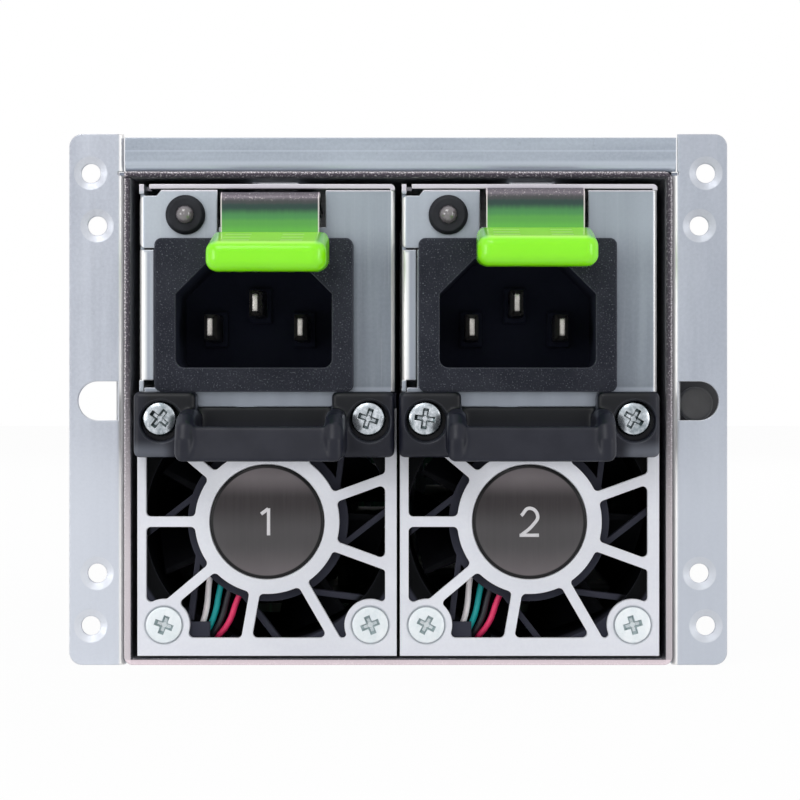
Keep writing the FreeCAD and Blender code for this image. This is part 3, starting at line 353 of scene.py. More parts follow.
class Surface(Graph):
    """A material's graph, with the shared effects at hand."""

    def __init__(self, tree: bpy.types.NodeTree, effects: Effects) -> None:
        """Start on a material's tree."""
        super().__init__(tree)
        self.effects = effects

    def clouds(self, repeats: float | Triple, low: float = 0.3, high: float = 0.7,
               detail: float = 3.0) -> Socket:
        """Return the soft patches.

        Args:
            repeats: how many to the metre, along X, Y and Z or all alike.
            low: the noise level below which there are none.
            high: the noise level above which they are full.
            detail: how fine their outlines are.

        Returns:
            The mask.
        """
        if isinstance(repeats, float):
            repeats = (repeats, repeats, repeats)
        return self.node("Group", {"Repeats": repeats, "Low": low, "High": high, "Detail": detail},
                         node_tree=self.effects.clouds).outputs[0]

    def lines(self, repeats: Triple) -> Socket:
        """Return the fine lines."""
        return self.node("Group", {"Repeats": repeats}, node_tree=self.effects.scratches).outputs[0]

    def edges(self, radius: float, high: float = 0.25) -> bpy.types.NodeOutputs:
        """Return the softened edges' Normal and Mask; the Mask carries the painted edge tones."""
        return self.node("Group", {"Radius": radius, "High": high}, node_tree=self.effects.edges).outputs

    def grain(self, repeats: float, low: float, high: float) -> bpy.types.NodeOutputs:
        """Return the pebbled grain's Height and Flecks."""
        return self.node("Group", {"Repeats": repeats, "Low": low, "High": high},
                         node_tree=self.effects.grain).outputs

    def shader(self, colour: Socket, rough: Socket, relief: tuple, values: dict[str, object]) -> Socket:
        """Return the surface's shader, with a fine relief on it.

        Args:
            colour: its colour.
            rough: its roughness.
            relief: the relief's strength and height, and the direction below it if that isn't plain.
            values: the shader's other inputs, by name.

        Returns:
            The shader.
        """
        strength, height, *below = relief
        bump = {"Strength": strength, "Distance": RELIEF, "Height": height}
        if below:
            bump["Normal"] = below[0]
        return self.node("BsdfPrincipled", {"Base Color": colour, "Roughness": rough, **values,
                                            "Normal": self.node("Bump", bump).outputs[0]}).outputs[0]


class Run(Enum):
    """The way that a sheet's drawn streaks run."""

    UP = "up"
    ACROSS = "across"
    INWARD = "inward"

    def stretched(self, along: float, across: float) -> Triple:
        """Return noise repeats per metre for X, Y and Z.

        Args:
            along: repeats along the streaks.
            across: repeats across them.

        Returns:
            The repeats for the three axes.
        """
        if self is Run.UP:
            return across, across, along
        if self is Run.ACROSS:
            return along, across, across
        return across, along, across


# ------------------------------------------------------------------ finishes
class Finish:
    """One material; each kind of finish draws its own shader."""

    name: str

    def build(self, effects: Effects) -> bpy.types.Material:
        """Make the material.

        Args:
            effects: the shared node groups.

        Returns:
            The material.
        """
        material = bpy.data.materials.new(self.name)
        material.use_nodes = True
        graph = Surface(material.node_tree, effects)
        graph.node("OutputMaterial", {"Surface": self.draw(graph)})
        return material

    def draw(self, graph: Surface) -> Socket:
        """Return the shader; every kind of finish has its own."""
        raise NotImplementedError


@dataclass(frozen=True)
class Patch:
    """A soft-edged field of another tone, between two places along X, two heights, or both."""

    colour: Colour
    share: float
    across: Span | None = None
    up: Span | None = None
    soft: float = 0.0002
    spacing: float = 0.0
    behind: float | None = None

    FORWARD, STEP = (-0.5, -0.2), 0.0003

    def lay(self, graph: Surface, colour: Socket) -> Socket:
        """Lay the patch over the forward faces and return the colour.

        Args:
            graph: the material's graph.
            colour: the colour below.

        Returns:
            The colour with the patch laid in.
        """
        mask = graph.ramp(graph.facing("Y"), *self.FORWARD, self.share, 0.0)
        if self.across:
            mask = graph.times(mask, graph.band(graph.aside(self.spacing), *self.across, self.soft))
        if self.up:
            mask = graph.times(mask, graph.band(graph.axis("Z"), *self.up, self.soft))
        if self.behind is not None:
            mask = graph.times(mask, graph.ramp(graph.axis("Y"), self.behind - self.STEP, self.behind))
        return graph.mix(mask, colour, self.colour)


@dataclass(frozen=True)
class Ring:
    """A soft-edged ring of another tone around the middle of each module's fan, used to paint a shadow."""

    colour: Colour
    centre_z: float
    spacing: float
    inner: float
    outer: float
    foot: float
    soft: float = 0.0003

    def lay(self, graph: Surface, colour: Socket) -> Socket:
        """Lay the ring over every face above its foot and return the colour.

        Args:
            graph: the material's graph.
            colour: the colour below.

        Returns:
            The colour with the ring laid in.
        """
        up = graph.sum("SUBTRACT", graph.axis("Z"), self.centre_z)
        mask = graph.band(graph.reach(up, graph.aside(self.spacing)), self.inner, self.outer, self.soft)
        above = graph.ramp(up, self.foot - self.soft, self.foot + self.soft)
        return graph.mix(graph.times(mask, above), colour, self.colour)


@dataclass(frozen=True)
class CutEdge:
    """The sheared front edge of a folded box: dark torn metal with bright specks along both arrises."""

    low: Vector
    high: Vector
    thick: float = 0.001
    torn: Colour = paint(70, 62, 74)
    deep: Colour = paint(40, 39, 46)
    speck: Colour = paint(240, 236, 240)
    pale: Colour = paint(218, 210, 215)
    lip: Colour = paint(238, 222, 229)

    TORN, SPECKS = (3800.0, 0.46, 0.6), (3300.0, 0.55, 0.64)
    ARRIS, ARRIS_GRAIN, ARRIS_SHARE = (0.66, 0.84), (0.0, 1.0, 0.2, 1.0), 0.85
    SPECK_RISE, DEEP_TO = (0.2, 0.8, 0.22, 0.55), (0.1, 0.75)
    ON_WALL, PALE_RISE = (-0.0001, 0.0001), (-0.0275, 0.008, 0.88, 0.02)
    RIGHT_SHADE, ON_LIP, LIP_SHARE = (0.0, 0.001, 0.0, 0.2), (0.00012, 0.0003), 0.84
    FACING, SKIN = (-0.9, -0.6, 1.0, 0.0), (0.0002, 0.0004)

    def lay(self, graph: Surface, colour: Socket) -> Socket:
        """Lay the edge over the sheet's foremost faces.

        Args:
            graph: the material's graph.
            colour: the sheet's colour.

        Returns:
            The colour with the edge laid in.
        """
        x, z = graph.axis("X"), graph.axis("Z")
        middle = (self.low.x + self.high.x) / 2
        beside = graph.sum("SUBTRACT", graph.sum("ABSOLUTE", graph.sum("SUBTRACT", x, middle)),
                           self.high.x - middle - self.thick)
        above = graph.sum("SUBTRACT", z, self.high.z - self.thick)
        below = graph.sum("SUBTRACT", self.low.z + self.thick, z)
        across = graph.sum("MAXIMUM", graph.sum("MAXIMUM", beside, above), below)
        depth = graph.sum("DIVIDE", across, self.thick)
        outer = graph.times(graph.ramp(depth, *self.ARRIS),
                            graph.ramp(graph.clouds(*self.TORN), *self.ARRIS_GRAIN))
        specks = graph.times(graph.clouds(*self.SPECKS), graph.ramp(depth, *self.SPECK_RISE))
        bright = graph.sum("MAXIMUM", graph.times(outer, self.ARRIS_SHARE), specks)
        edge = graph.mix(graph.ramp(depth, *self.DEEP_TO), self.deep, self.torn)
        edge = graph.mix(bright, edge, self.speck)
        on_wall = graph.ramp(beside, *self.ON_WALL)
        edge = graph.lay(on_wall, graph.ramp(z, *self.PALE_RISE), edge, self.pale)
        edge = graph.lay(on_wall, graph.ramp(x, *self.RIGHT_SHADE), edge, self.deep)
        edge = graph.lay(graph.ramp(below, *self.ON_LIP), self.LIP_SHARE, edge, self.lip)
        near = graph.ramp(graph.axis("Y"), *(self.low.y + step for step in self.SKIN), 1.0, 0.0)
        return graph.lay(near, graph.ramp(graph.facing("Y"), *self.FACING), colour, edge)


@dataclass(frozen=True)
class Sheet(Finish):
    """Zinc-plated or bare sheet metal with soft mottling, faint drawn streaks and painted highlights on its
    edges and bends.
    """

    name: str
    light: Colour
    dark: Colour
    run: Run
    metallic: float = 0.6
    rough: Span = (0.36, 0.48)
    clouds: float = 150.0
    streaks: float = 420.0
    streak_share: float = 0.4
    pit_share: float = 0.16
    edge_radius: float = 0.0003
    # edge_light is the fine lines' colour and the painted highlight on edges and bends; on the contact blades
    # it is a painted dark edge
    edge_light: Colour = paint(238, 236, 234)
    edge_share: float = 0.5
    # bend_highlight_share: how much painted highlight the outsides of bends take
    bend_highlight_share: float = 0.0
    mottle_share: float = 0.2
    # painted shade tone for faces turned sideways, such as screw recess walls and blade sides
    side_shade: Colour | None = None
    patches: tuple[Patch, ...] = ()
    cut: CutEdge | None = None

    LINE_SHARE, CLOUD_WEIGHT, BUMP, DARK_PIT = 0.06, 0.8, 0.07, 0.5
    MOTTLE, PITS, STREAK_CUT = (1900.0, 0.4, 0.62), (1300.0, 0.62, 0.76), (0.25, 0.75)
    STREAKS_ALONG, LINES = 16.0, (60.0, 3600.0)
    OUTSIDE_BEND, NOT_SIDE = (-0.97, -0.86), (-0.3, -0.02, 1.0, 0.0)
    SIDE_SHADE_TURN = (-0.75, -0.35, 0.0, 0.85)

    def draw(self, graph: Surface) -> Socket:
        """Draw the metal.

        Args:
            graph: the material's graph.

        Returns:
            The shader.
        """
        clouds = graph.clouds(self.run.stretched(self.clouds * 0.4, self.clouds), detail=5.0)
        streaks = graph.clouds(self.run.stretched(self.STREAKS_ALONG, self.streaks), *self.STREAK_CUT)
        pits = graph.grain(*self.PITS)
        edges = graph.edges(self.edge_radius)
        tone = graph.sum("ADD", graph.times(clouds, self.CLOUD_WEIGHT - self.streak_share),
                         graph.times(streaks, self.streak_share))
        tone = graph.sum("ADD", tone, graph.times(graph.clouds(*self.MOTTLE), self.mottle_share))
        colour = graph.mix(tone, self.dark, self.light)
        colour = graph.lay(graph.lines(self.run.stretched(*self.LINES)), self.LINE_SHARE, colour,
                           self.edge_light)
        colour = graph.lay(pits["Flecks"], self.pit_share, colour,
                           tuple(self.DARK_PIT * part for part in self.dark))
        for patch in self.patches:
            colour = patch.lay(graph, colour)
        # painted highlight: edge_light laid along the edges and over the outsides of bends
        shine = graph.sum("MAXIMUM", graph.times(edges["Mask"], self.edge_share),
                          graph.times(self._bend_highlight(graph), self.bend_highlight_share))
        colour = graph.mix(shine, colour, self.edge_light)
        # painted shade: faces turned sideways take the darker tone
        if self.side_shade:
            colour = graph.mix(graph.ramp(graph.facing("Y"), *self.SIDE_SHADE_TURN), colour, self.side_shade)
        if self.cut:
            colour = self.cut.lay(graph, colour)
        height = graph.sum("ADD", graph.times(streaks, 0.5), pits["Height"])
        return graph.shader(colour, graph.ramp(tone, 0.0, 1.0, self.rough[1], self.rough[0]),
                            (self.BUMP, height, edges["Normal"]), {"Metallic": self.metallic})

    def _bend_highlight(self, graph: Surface) -> Socket:
        """Return 1 on the outside of an upright or level bend beside the front, where a highlight is painted.
        """
        return graph.times(graph.ramp(graph.facing("Y"), *self.OUTSIDE_BEND),
                           graph.ramp(graph.facing("Y"), *self.NOT_SIDE))


@dataclass(frozen=True)
class SprungStrip(Finish):
    """The latch's bare spring strip, with a dark band and the green tab's reflection painted down its lower
    front.
    """

    name: str
    foot: float
    spacing: float
    shift: float
    half_width: float
    rise: float = 0.0061
    bare: Colour = paint(106, 100, 108)
    # arris: the grain flecks' colour, and the painted highlight along the side arrises and edges
    arris: Colour = paint(236, 226, 228)

    # painted reflection: a grey-dark band, a dark teal band, then the green tab's reflection growing towards
    # the tab; each row gives where it starts and ends down the strip, and its tone
    REFLECTION_BANDS = ((0.13, 0.26, paint(72, 74, 78)), (0.26, 0.34, paint(46, 68, 66)),
             (0.38, 0.62, paint(78, 138, 86)), (0.62, 0.76, paint(94, 158, 82)),
             (0.78, 1.0, paint(106, 178, 82)))
    STREAKS, GRAIN, GRAIN_SHARE, WANDER = (120.0, 2600.0), (3600.0, 0.58, 0.68), 0.35, 0.02
    FACING, ARRIS_BAND, ARRIS_SHARE = (-0.9, -0.5, 1.0, 0.0), (0.00025, 0.0001), 0.85

    def draw(self, graph: Surface) -> Socket:
        """Draw the strip.

        Args:
            graph: the material's graph.

        Returns:
            The shader.
        """
        fall = graph.sum("DIVIDE", graph.sum("SUBTRACT", self.foot + self.rise, graph.axis("Z")), self.rise)
        streaks = graph.clouds(Run.UP.stretched(*self.STREAKS))
        edges = graph.edges(0.0002)
        wander = graph.sum("ADD", fall, graph.times(streaks, self.WANDER))
        bare = graph.lay(graph.grain(*self.GRAIN)["Flecks"], self.GRAIN_SHARE, self.bare, self.arris)
        colour = bare
        # lay the painted reflection bands down the strip's front
        for low, high, tone in self.REFLECTION_BANDS:
            colour = graph.mix(graph.ramp(wander, low, high), colour, tone)
        colour = graph.mix(graph.ramp(graph.facing("Y"), *self.FACING), bare, colour)
        # painted highlight along both side arrises and the edges
        aside = graph.sum("ABSOLUTE", graph.aside(self.spacing, self.shift))
        arris = graph.ramp(aside, *(self.half_width - step for step in self.ARRIS_BAND), 0.0,
                           self.ARRIS_SHARE)
        colour = graph.mix(graph.sum("MAXIMUM", arris, graph.times(edges["Mask"], 0.6)), colour, self.arris)
        return graph.shader(colour, graph.ramp(streaks, 0.0, 1.0, 0.34, 0.44),
                            (0.08, streaks, edges["Normal"]),
                            {"Metallic": graph.ramp(wander, 0.15, 0.35, 0.5, 0.0),
                             "Specular IOR Level": 0.3})


@dataclass(frozen=True)
class Moulding(Finish):
    """Moulded plastic or rubber with its grain, faint scuffs and a painted highlight along its edges."""

    name: str
    colour: Colour
    # the scuffs' tone, also laid along the edges as a painted highlight
    scuff_and_sheen: Colour
    roughness: float = 0.45
    rough_spread: float = 0.12
    specular: float = 0.4
    grain_repeats: float = 2500.0
    grain_strength: float = 0.1
    fleck: Colour = (0.2, 0.2, 0.22)
    fleck_share: float = 0.0
    fleck_span: Span = (0.62, 0.72)
    cloud_share: float = 0.15
    edge_radius: float = 0.0003
    edge_share: float = 0.3
    coat: float = 0.0
    # darkens and inner: a painted shade tone laid deeper in, from the first depth to the second
    darkens: Span | None = None
    inner: Colour = paint(9, 10, 15)
    patches: tuple[Patch | Ring, ...] = ()

    def draw(self, graph: Surface) -> Socket:
        """Draw the plastic, which turns to its inner tone, a painted shade, between two depths.

        Args:
            graph: the material's graph.

        Returns:
            The shader.
        """
        clouds = graph.clouds(220.0)
        grain = graph.grain(self.grain_repeats, *self.fleck_span)
        edges = graph.edges(self.edge_radius)
        colour = graph.lay(clouds, self.cloud_share, self.colour, self.scuff_and_sheen)
        colour = graph.lay(grain["Flecks"], self.fleck_share, colour, self.fleck)
        for patch in self.patches:
            colour = patch.lay(graph, colour)
        # painted highlight: the scuff tone laid along the edges
        colour = graph.lay(edges["Mask"], self.edge_share, colour, self.scuff_and_sheen)
        rough = graph.ramp(clouds, 0.0, 1.0, self.roughness + self.rough_spread / 2,
                           self.roughness - self.rough_spread / 2)
        # painted shade: deeper along Y the plastic turns to the inner tone
        if self.darkens:
            deep = graph.ramp(graph.axis("Y"), *self.darkens)
            colour = graph.mix(deep, colour, self.inner)
            rough = graph.sum("ADD", rough, graph.times(deep, 0.3))
        return graph.shader(colour, rough, (self.grain_strength, grain["Height"], edges["Normal"]),
                            {"Specular IOR Level": self.specular, "Coat Weight": self.coat,
                             "Coat Roughness": 0.12})


@dataclass(frozen=True)
class RibbedTab(Finish):
    """Glossy moulded plastic with two sets of fine grip ribs on its upper face; the upward faces and rib
    crests are painted lighter, as lit from above, and the edges carry a painted highlight.
    """

    name: str
    spacing: float
    shift: float
    front: float
    body: Colour = paint(138, 238, 6)
    # top: the painted lit tone of the upward faces and the edges
    top: Colour = paint(180, 255, 92)
    rib: Colour = paint(206, 255, 152)
    end: Colour = paint(118, 206, 104)
    rib_spans: tuple[Span, ...] = ((-0.0067, -0.0025), (0.0020, 0.0055))
    rib_from: float = 0.0012
    rib_count: int = 3
    rib_pitch: float = 0.0029

    UPPER, ENDS, RIB_CREST = (0.55, 0.9), (0.0070, 0.0080), (0.16, 0.3, 1.0, 0.0)
    UPPER_SHARE, END_SHARE, RIB_SHARE, EDGE_SHARE = 0.95, 0.8, 0.55, 0.25
    SPAN_SOFT, ROW_SOFT = 0.0001, 0.025

    def draw(self, graph: Surface) -> Socket:
        """Draw the tab.

        Args:
            graph: the material's graph.

        Returns:
            The shader.
        """
        clouds = graph.clouds(160.0)
        edges = graph.edges(0.0008, 0.4)
        upper = graph.ramp(graph.facing("Z"), *self.UPPER)
        ribs = graph.times(self._ribs(graph), upper)
        colour = graph.lay(clouds, 0.05, self.body, self.top)
        # painted light: the upward faces take the lighter top tone
        colour = graph.lay(upper, self.UPPER_SHARE, colour, self.top)
        ends = graph.ramp(graph.sum("ABSOLUTE", graph.aside(self.spacing, self.shift)), *self.ENDS)
        colour = graph.lay(graph.times(ends, upper), self.END_SHARE, colour, self.end)
        # painted highlight on the rib crests
        colour = graph.lay(ribs, self.RIB_SHARE, colour, self.rib)
        # painted highlight along the edges
        colour = graph.lay(edges["Mask"], self.EDGE_SHARE, colour, self.top)
        return graph.shader(colour, graph.ramp(clouds, 0.0, 1.0, 0.13, 0.17), (0.3, ribs, edges["Normal"]),
                            {"Specular IOR Level": 0.5, "Subsurface Weight": 0.2,
                             "Subsurface Radius": (0.6, 1.0, 0.2), "Subsurface Scale": 0.002})

    def _ribs(self, graph: Surface) -> Socket:
        """Return 1 along each rib's crest, over both sets.

        Args:
            graph: the material's graph.

        Returns:
            The mask, 0 to 1.
        """
        aside = graph.aside(self.spacing, self.shift)
        left, right = (graph.band(aside, low + self.SPAN_SOFT, high - self.SPAN_SOFT, self.SPAN_SOFT)
                       for low, high in self.rib_spans)
        back = graph.sum("DIVIDE", graph.sum("SUBTRACT", graph.axis("Y"), self.front + self.rib_from),
                         self.rib_pitch)
        inside = graph.band(back, self.ROW_SOFT, self.rib_count - self.ROW_SOFT, self.ROW_SOFT)
        wave = graph.sum("ABSOLUTE", graph.sum("SUBTRACT", graph.sum("FRACT", back), 0.5))
        crest = graph.ramp(wave, *self.RIB_CREST)
        return graph.times(graph.sum("ADD", left, right), graph.times(inside, crest))


@dataclass(frozen=True)
class BadgeFace(Finish):
    """A satin dark disc: fine upright brushing, a painted reflection that changes its tone down its face, and
    a black ring painted at its rim as the shadow of its gap.
    """

    name: str
    centre_z: float
    radius: float
    spacing: float
    # edge, belt and field are the painted reflection's tones; rim is the painted shadow ring
    edge: Colour = paint(112, 106, 109)
    belt: Colour = paint(52, 48, 50)
    field: Colour = paint(80, 78, 80)
    rim: Colour = paint(10, 10, 13)

    BRUSH, BRUSH_SHARE, CLOUDS, CLOUD_SHARE = (90.0, 2200.0), 0.06, 150.0, 0.12
    RIM_BAND, EDGE_END = (0.0006, 0.0004), (-0.0095, -0.003)
    BELT, EDGE_TOP = (-0.0015, 0.003), (0.0035, 0.0072)

    def draw(self, graph: Surface) -> Socket:
        """Draw the disc.

        Args:
            graph: the material's graph.

        Returns:
            The shader.
        """
        up = graph.sum("SUBTRACT", graph.axis("Z"), self.centre_z)
        reach = graph.reach(up, graph.aside(self.spacing))
        brush = graph.clouds(Run.UP.stretched(*self.BRUSH))
        # painted reflection: light at the bottom, a mid tone, a dark belt, then light again at the top
        colour = self.edge
        for span, tone in ((self.EDGE_END, self.field), (self.BELT, self.belt), (self.EDGE_TOP, self.edge)):
            colour = graph.mix(graph.ramp(up, *span), colour, tone)
        colour = graph.lay(graph.clouds(self.CLOUDS), self.CLOUD_SHARE, colour, self.belt)
        colour = graph.lay(brush, self.BRUSH_SHARE, colour, self.edge)
        # painted shadow: the black ring at the disc's rim
        rim = graph.ramp(reach, *(self.radius - step for step in self.RIM_BAND))
        colour = graph.mix(rim, colour, self.rim)
        return graph.shader(colour, graph.ramp(brush, 0.0, 1.0, 0.36, 0.44), (0.05, brush),
                            {"Specular IOR Level": 0.25})


@dataclass(frozen=True)
class Board(Finish):
    """A printed circuit board: solder mask with copper runs and plated pads under it."""

    name: str
    mask: Colour = (0.008, 0.075, 0.03)
    run: Colour = (0.014, 0.13, 0.05)
    pad: Colour = (0.7, 0.62, 0.4)
    edge: Colour = (0.35, 0.32, 0.18)

    def draw(self, graph: Surface) -> Socket:
        """Draw the board.

        Args:
            graph: the material's graph.

        Returns:
            The shader.
        """
        place = graph.place()
        tracks = graph.node("TexBrick", {"Vector": place, "Scale": 180.0, "Mortar Size": 0.03,
                                         "Color1": rgba(self.mask), "Color2": rgba(self.mask),
                                         "Mortar": rgba(self.run)}).outputs["Color"]
        dots = graph.node("TexVoronoi", {"Vector": place, "Scale": 260.0}).outputs["Distance"]
        pads = graph.ramp(dots, 0.10, 0.14, 1.0, 0.0)
        edges = graph.edges(0.0002)
        colour = graph.lay(edges["Mask"], 0.6, graph.mix(pads, tracks, self.pad), self.edge)
        return graph.shader(colour, graph.ramp(graph.clouds(100.0), 0.0, 1.0, 0.28, 0.42),
                            (0.2, pads, edges["Normal"]), {"Metallic": graph.times(pads, 0.8)})


class Finishes:
    """Every finish on the object, by the name that the pieces ask for."""

    def __init__(self, effects: Effects) -> None:
        """Build the materials.

        Args:
            effects: the shared node groups.
        """
        cover_low, cover_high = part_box("right_case_cover")
        self.spacing = (cover_low.x + cover_high.x) / 2
        self.by_name = {finish.name: finish.build(effects)
                        for finish in self._metals() + self._mouldings() + self._leads() + self._fitted()}

    def _metals(self) -> list[Sheet]:
        """List the sheet and turned metals.

        Returns:
            The finishes.
        """
        top_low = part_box("top_flange_bracket")[0].z
        cover_low, cover_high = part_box("right_case_cover")
        half, roof = (cover_high.x - cover_low.x) / 2, (cover_high.z - 0.0011, cover_high.z + 0.001)
        pale_roof = Patch(paint(216, 211, 220), 0.85, up=roof)
        pale_lip = Patch(paint(172, 180, 193), 0.7, up=(-0.0025, 0.0019))
        pale_top = Patch(paint(178, 188, 198), 0.48, up=(0.0238, 0.0345), soft=0.004)
        # painted light: the flanges' lower part is paler
        lower = Patch(paint(216, 221, 231), 0.7, up=(-0.06, -0.006), soft=0.012)
        # painted shade: the right-hand half is darker
        right = Patch(paint(152, 160, 172), 0.36, across=(0.0, 0.1))
        # painted highlight on the tray's left front bend, and a painted shade line beside it
        fold_highlight, fold_shade = (
            Patch(tone, share, across=(start - half, end - half), up=(0.0030, 0.0229), soft=0.0003,
                  spacing=self.spacing)
            for tone, share, start, end in ((paint(250, 252, 253), 0.95, -0.001, 0.0011),
                                            (paint(158, 163, 178), 0.7, 0.0013, 0.0016)))
        # painted highlight: a light band just above the top flange's lower bend, and a light line along a
        # crease
        rim = Patch(paint(186, 194, 206), 0.75, up=(top_low + 0.0007, top_low + 0.0016), soft=0.0003)
        crease_highlight = Patch(paint(190, 199, 212), 0.6, up=(top_low + 0.0031, top_low + 0.0033), soft=0.0001)
        return [
            Sheet("flange_sheet", paint(201, 206, 217), paint(175, 180, 192), Run.UP, bend_highlight_share=0.9,
                  patches=(lower, right)),
            Sheet("top_flange_sheet", paint(177, 186, 198), paint(153, 161, 174), Run.ACROSS,
                  bend_highlight_share=0.6, edge_light=paint(206, 214, 227), patches=(rim, crease_highlight)),
            Sheet("cage_sheet", paint(177, 179, 185), paint(157, 158, 165), Run.INWARD, streak_share=0.3,
                  mottle_share=0.08, pit_share=0.08, cut=CutEdge(*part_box("cage_body"))),
            Sheet("rivet_zinc", paint(206, 211, 218), paint(176, 182, 192), Run.UP, metallic=0.7,
                  rough=(0.3, 0.42), pit_share=0.15, clouds=600.0, mottle_share=0.1),
            Sheet("tray_sheet", paint(194, 202, 211), paint(166, 174, 185), Run.UP, pit_share=0.06,
                  streak_share=0.25, clouds=70.0, rough=(0.32, 0.42), bend_highlight_share=0.9, mottle_share=0.1,
                  patches=(right, fold_highlight, fold_shade, pale_roof)),
            Sheet("cover_sheet", paint(153, 162, 171), paint(113, 120, 131), Run.UP, pit_share=0.06,
                  streak_share=0.45, streaks=300.0, clouds=60.0, rough=(0.32, 0.42), bend_highlight_share=0.7,
                  mottle_share=0.08, patches=(pale_top, pale_roof, pale_lip)),
            Sheet("guard_coat", paint(234, 236, 243), paint(224, 226, 235), Run.ACROSS, metallic=0.0,
                  pit_share=0.03, streak_share=0.2, edge_radius=0.0002, rough=(0.4, 0.5)),
            # painted shade: dark edges and dark sides on the contact blades
            Sheet("contact_blade", paint(216, 212, 208), paint(150, 146, 142), Run.INWARD, metallic=0.7,
                  rough=(0.24, 0.34), pit_share=0.1, edge_radius=0.0008, edge_share=1.0,
                  edge_light=paint(20, 20, 24), side_shade=paint(18, 18, 22)),
            # painted shade in the recesses: teal-tinted walls on the pan heads, grey walls on the flat heads
            Sheet("screw_zinc", paint(238, 243, 250), paint(92, 108, 114), Run.UP, metallic=0.9,
                  rough=(0.2, 0.32), pit_share=0.35, clouds=900.0, edge_radius=0.00012,
                  side_shade=paint(34, 66, 62)),
            Sheet("flat_screw_zinc", paint(246, 250, 253), paint(226, 235, 239), Run.UP, metallic=0.4,
                  rough=(0.34, 0.46), pit_share=0.1, clouds=700.0, edge_radius=0.0001, edge_share=0.3,
                  side_shade=paint(158, 176, 178)),
            Sheet("heat_sink", paint(44, 46, 50), paint(30, 32, 36), Run.INWARD, metallic=0.4,
                  rough=(0.5, 0.6), edge_light=paint(90, 92, 98)),
        ]

    def _mouldings(self) -> list[Moulding]:
        """List the plastics and the rubber.

        Returns:
            The finishes.
        """
        grip_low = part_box("right_pull_handle")[0].z
        # painted highlight: the lugs' lower lips are paler
        lug_foot_highlights = [Patch(paint(100, 104, 114), 0.85, across=span, up=(grip_low - 0.001, grip_low + 0.0022),
                       soft=0.0011) for span in ((-0.045, -0.0352), (0.0352, 0.045))]
        # painted shade over the web and the lugs' tops behind the grip
        painted_web_shade = Patch(paint(8, 11, 16), 0.85, across=(-0.0186, 0.0186), soft=0.0014, spacing=self.spacing,
                    up=(grip_low + 0.0052, grip_low + 0.02), behind=-0.0054)
        fan_low, fan_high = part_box("right_fan_frame")
        # painted shadow: a dark ring on the fan frame where a bell mouth would shade it
        bell_mouth_shadow = Ring(paint(0, 1, 3), (fan_low.z + fan_high.z) / 2, self.spacing, 0.0184, 0.0213, -0.0138)
        return [
            Moulding("handle_black", paint(20, 22, 34), paint(122, 126, 140), roughness=0.36,
                     rough_spread=0.06, cloud_share=0.03, grain_strength=0.02, specular=0.26,
                     edge_share=0.42, edge_radius=0.0005, patches=(*lug_foot_highlights, painted_web_shade)),
            # painted shade tone deeper in the inlet's cavity
            Moulding("inlet_black", paint(37, 39, 48), paint(96, 99, 110), roughness=0.6, specular=0.1,
                     grain_repeats=4000.0, grain_strength=0.25, fleck=paint(128, 132, 142),
                     fleck_share=0.62, fleck_span=(0.58, 0.72), cloud_share=0.08, edge_radius=0.0005,
                     edge_share=0.7, darkens=(-0.0024, -0.0006), inner=paint(36, 39, 54)),
            # painted shade: the fan frame turns dark deeper in
            Moulding("fan_black", paint(54, 55, 66), paint(66, 68, 78), roughness=0.6, specular=0.08,
                     edge_share=0.4, darkens=(0.0045, 0.0105), patches=(bell_mouth_shadow,)),
            # painted shade: the rotor turns dark deeper in
            Moulding("rotor_black", paint(16, 17, 21), paint(30, 31, 36), roughness=0.6, specular=0.06,
                     darkens=(0.006, 0.016)),
            Moulding("socket_black", paint(34, 35, 40), paint(58, 60, 66), roughness=0.55, specular=0.2),
            Moulding("digit_grey", paint(222, 220, 224), paint(232, 230, 234), roughness=0.5,
                     edge_radius=0.0001),
            Moulding("lamp_bezel", paint(28, 29, 35), paint(84, 86, 92), roughness=0.5, specular=0.2,
                     edge_radius=0.0004),
            Moulding("lamp_lens", paint(101, 95, 99), paint(126, 120, 124), roughness=0.05, specular=0.8,
                     rough_spread=0.02, grain_strength=0.01, coat=1.0),
            Moulding("button_grey", paint(69, 69, 70), paint(100, 100, 102), roughness=0.5, specular=0.2,
                     edge_radius=0.0004),
            Moulding("rubber_black", paint(34, 34, 36), paint(58, 58, 60), roughness=0.75, specular=0.25),
            Moulding("capacitor_blue", paint(20, 44, 96), paint(50, 78, 130), roughness=0.35, coat=0.3),
            Moulding("ferrite_grey", paint(58, 58, 62), paint(88, 88, 92), roughness=0.8,
                     grain_strength=0.4),
        ]

    def _leads(self) -> list[Moulding]:
        """List the leads' insulation.

        Returns:
            The finishes.
        """
        tones = {"white": (paint(246, 240, 242), paint(250, 248, 249)),
                 "teal": (paint(0, 160, 160), paint(10, 186, 180)),
                 "black": (paint(30, 29, 36), paint(60, 58, 68)),
                 "red": (paint(244, 52, 108), paint(246, 84, 132))}
        return [Moulding("lead_" + name, *pair, roughness=0.4) for name, pair in tones.items()]

    def _fitted(self) -> list[Finish]:
        """List the finishes that follow the form of one piece, whose places come from the frame.

        Returns:
            The finishes.
        """
        badge_low, badge_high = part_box("right_guard_badge")
        strip_low, strip_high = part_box("right_latch_strip")
        tab_low, tab_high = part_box("right_latch_tab")
        spacing = (badge_low.x + badge_high.x) / 2
        shift = (tab_low.x + tab_high.x) / 2 - spacing
        half = (strip_high.x - strip_low.x) / 2
        return [
            *(SprungStrip(side + "_spring_strip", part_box(side + "_latch_tab")[1].z, spacing, shift, half)
              for side in ("left", "right")),
            RibbedTab("tab_green", spacing, shift, tab_low.y),
            BadgeFace("badge_dark", (badge_low.z + badge_high.z) / 2, (badge_high.x - badge_low.x) / 2,
                      spacing),
            Board("circuit_board"),
        ]

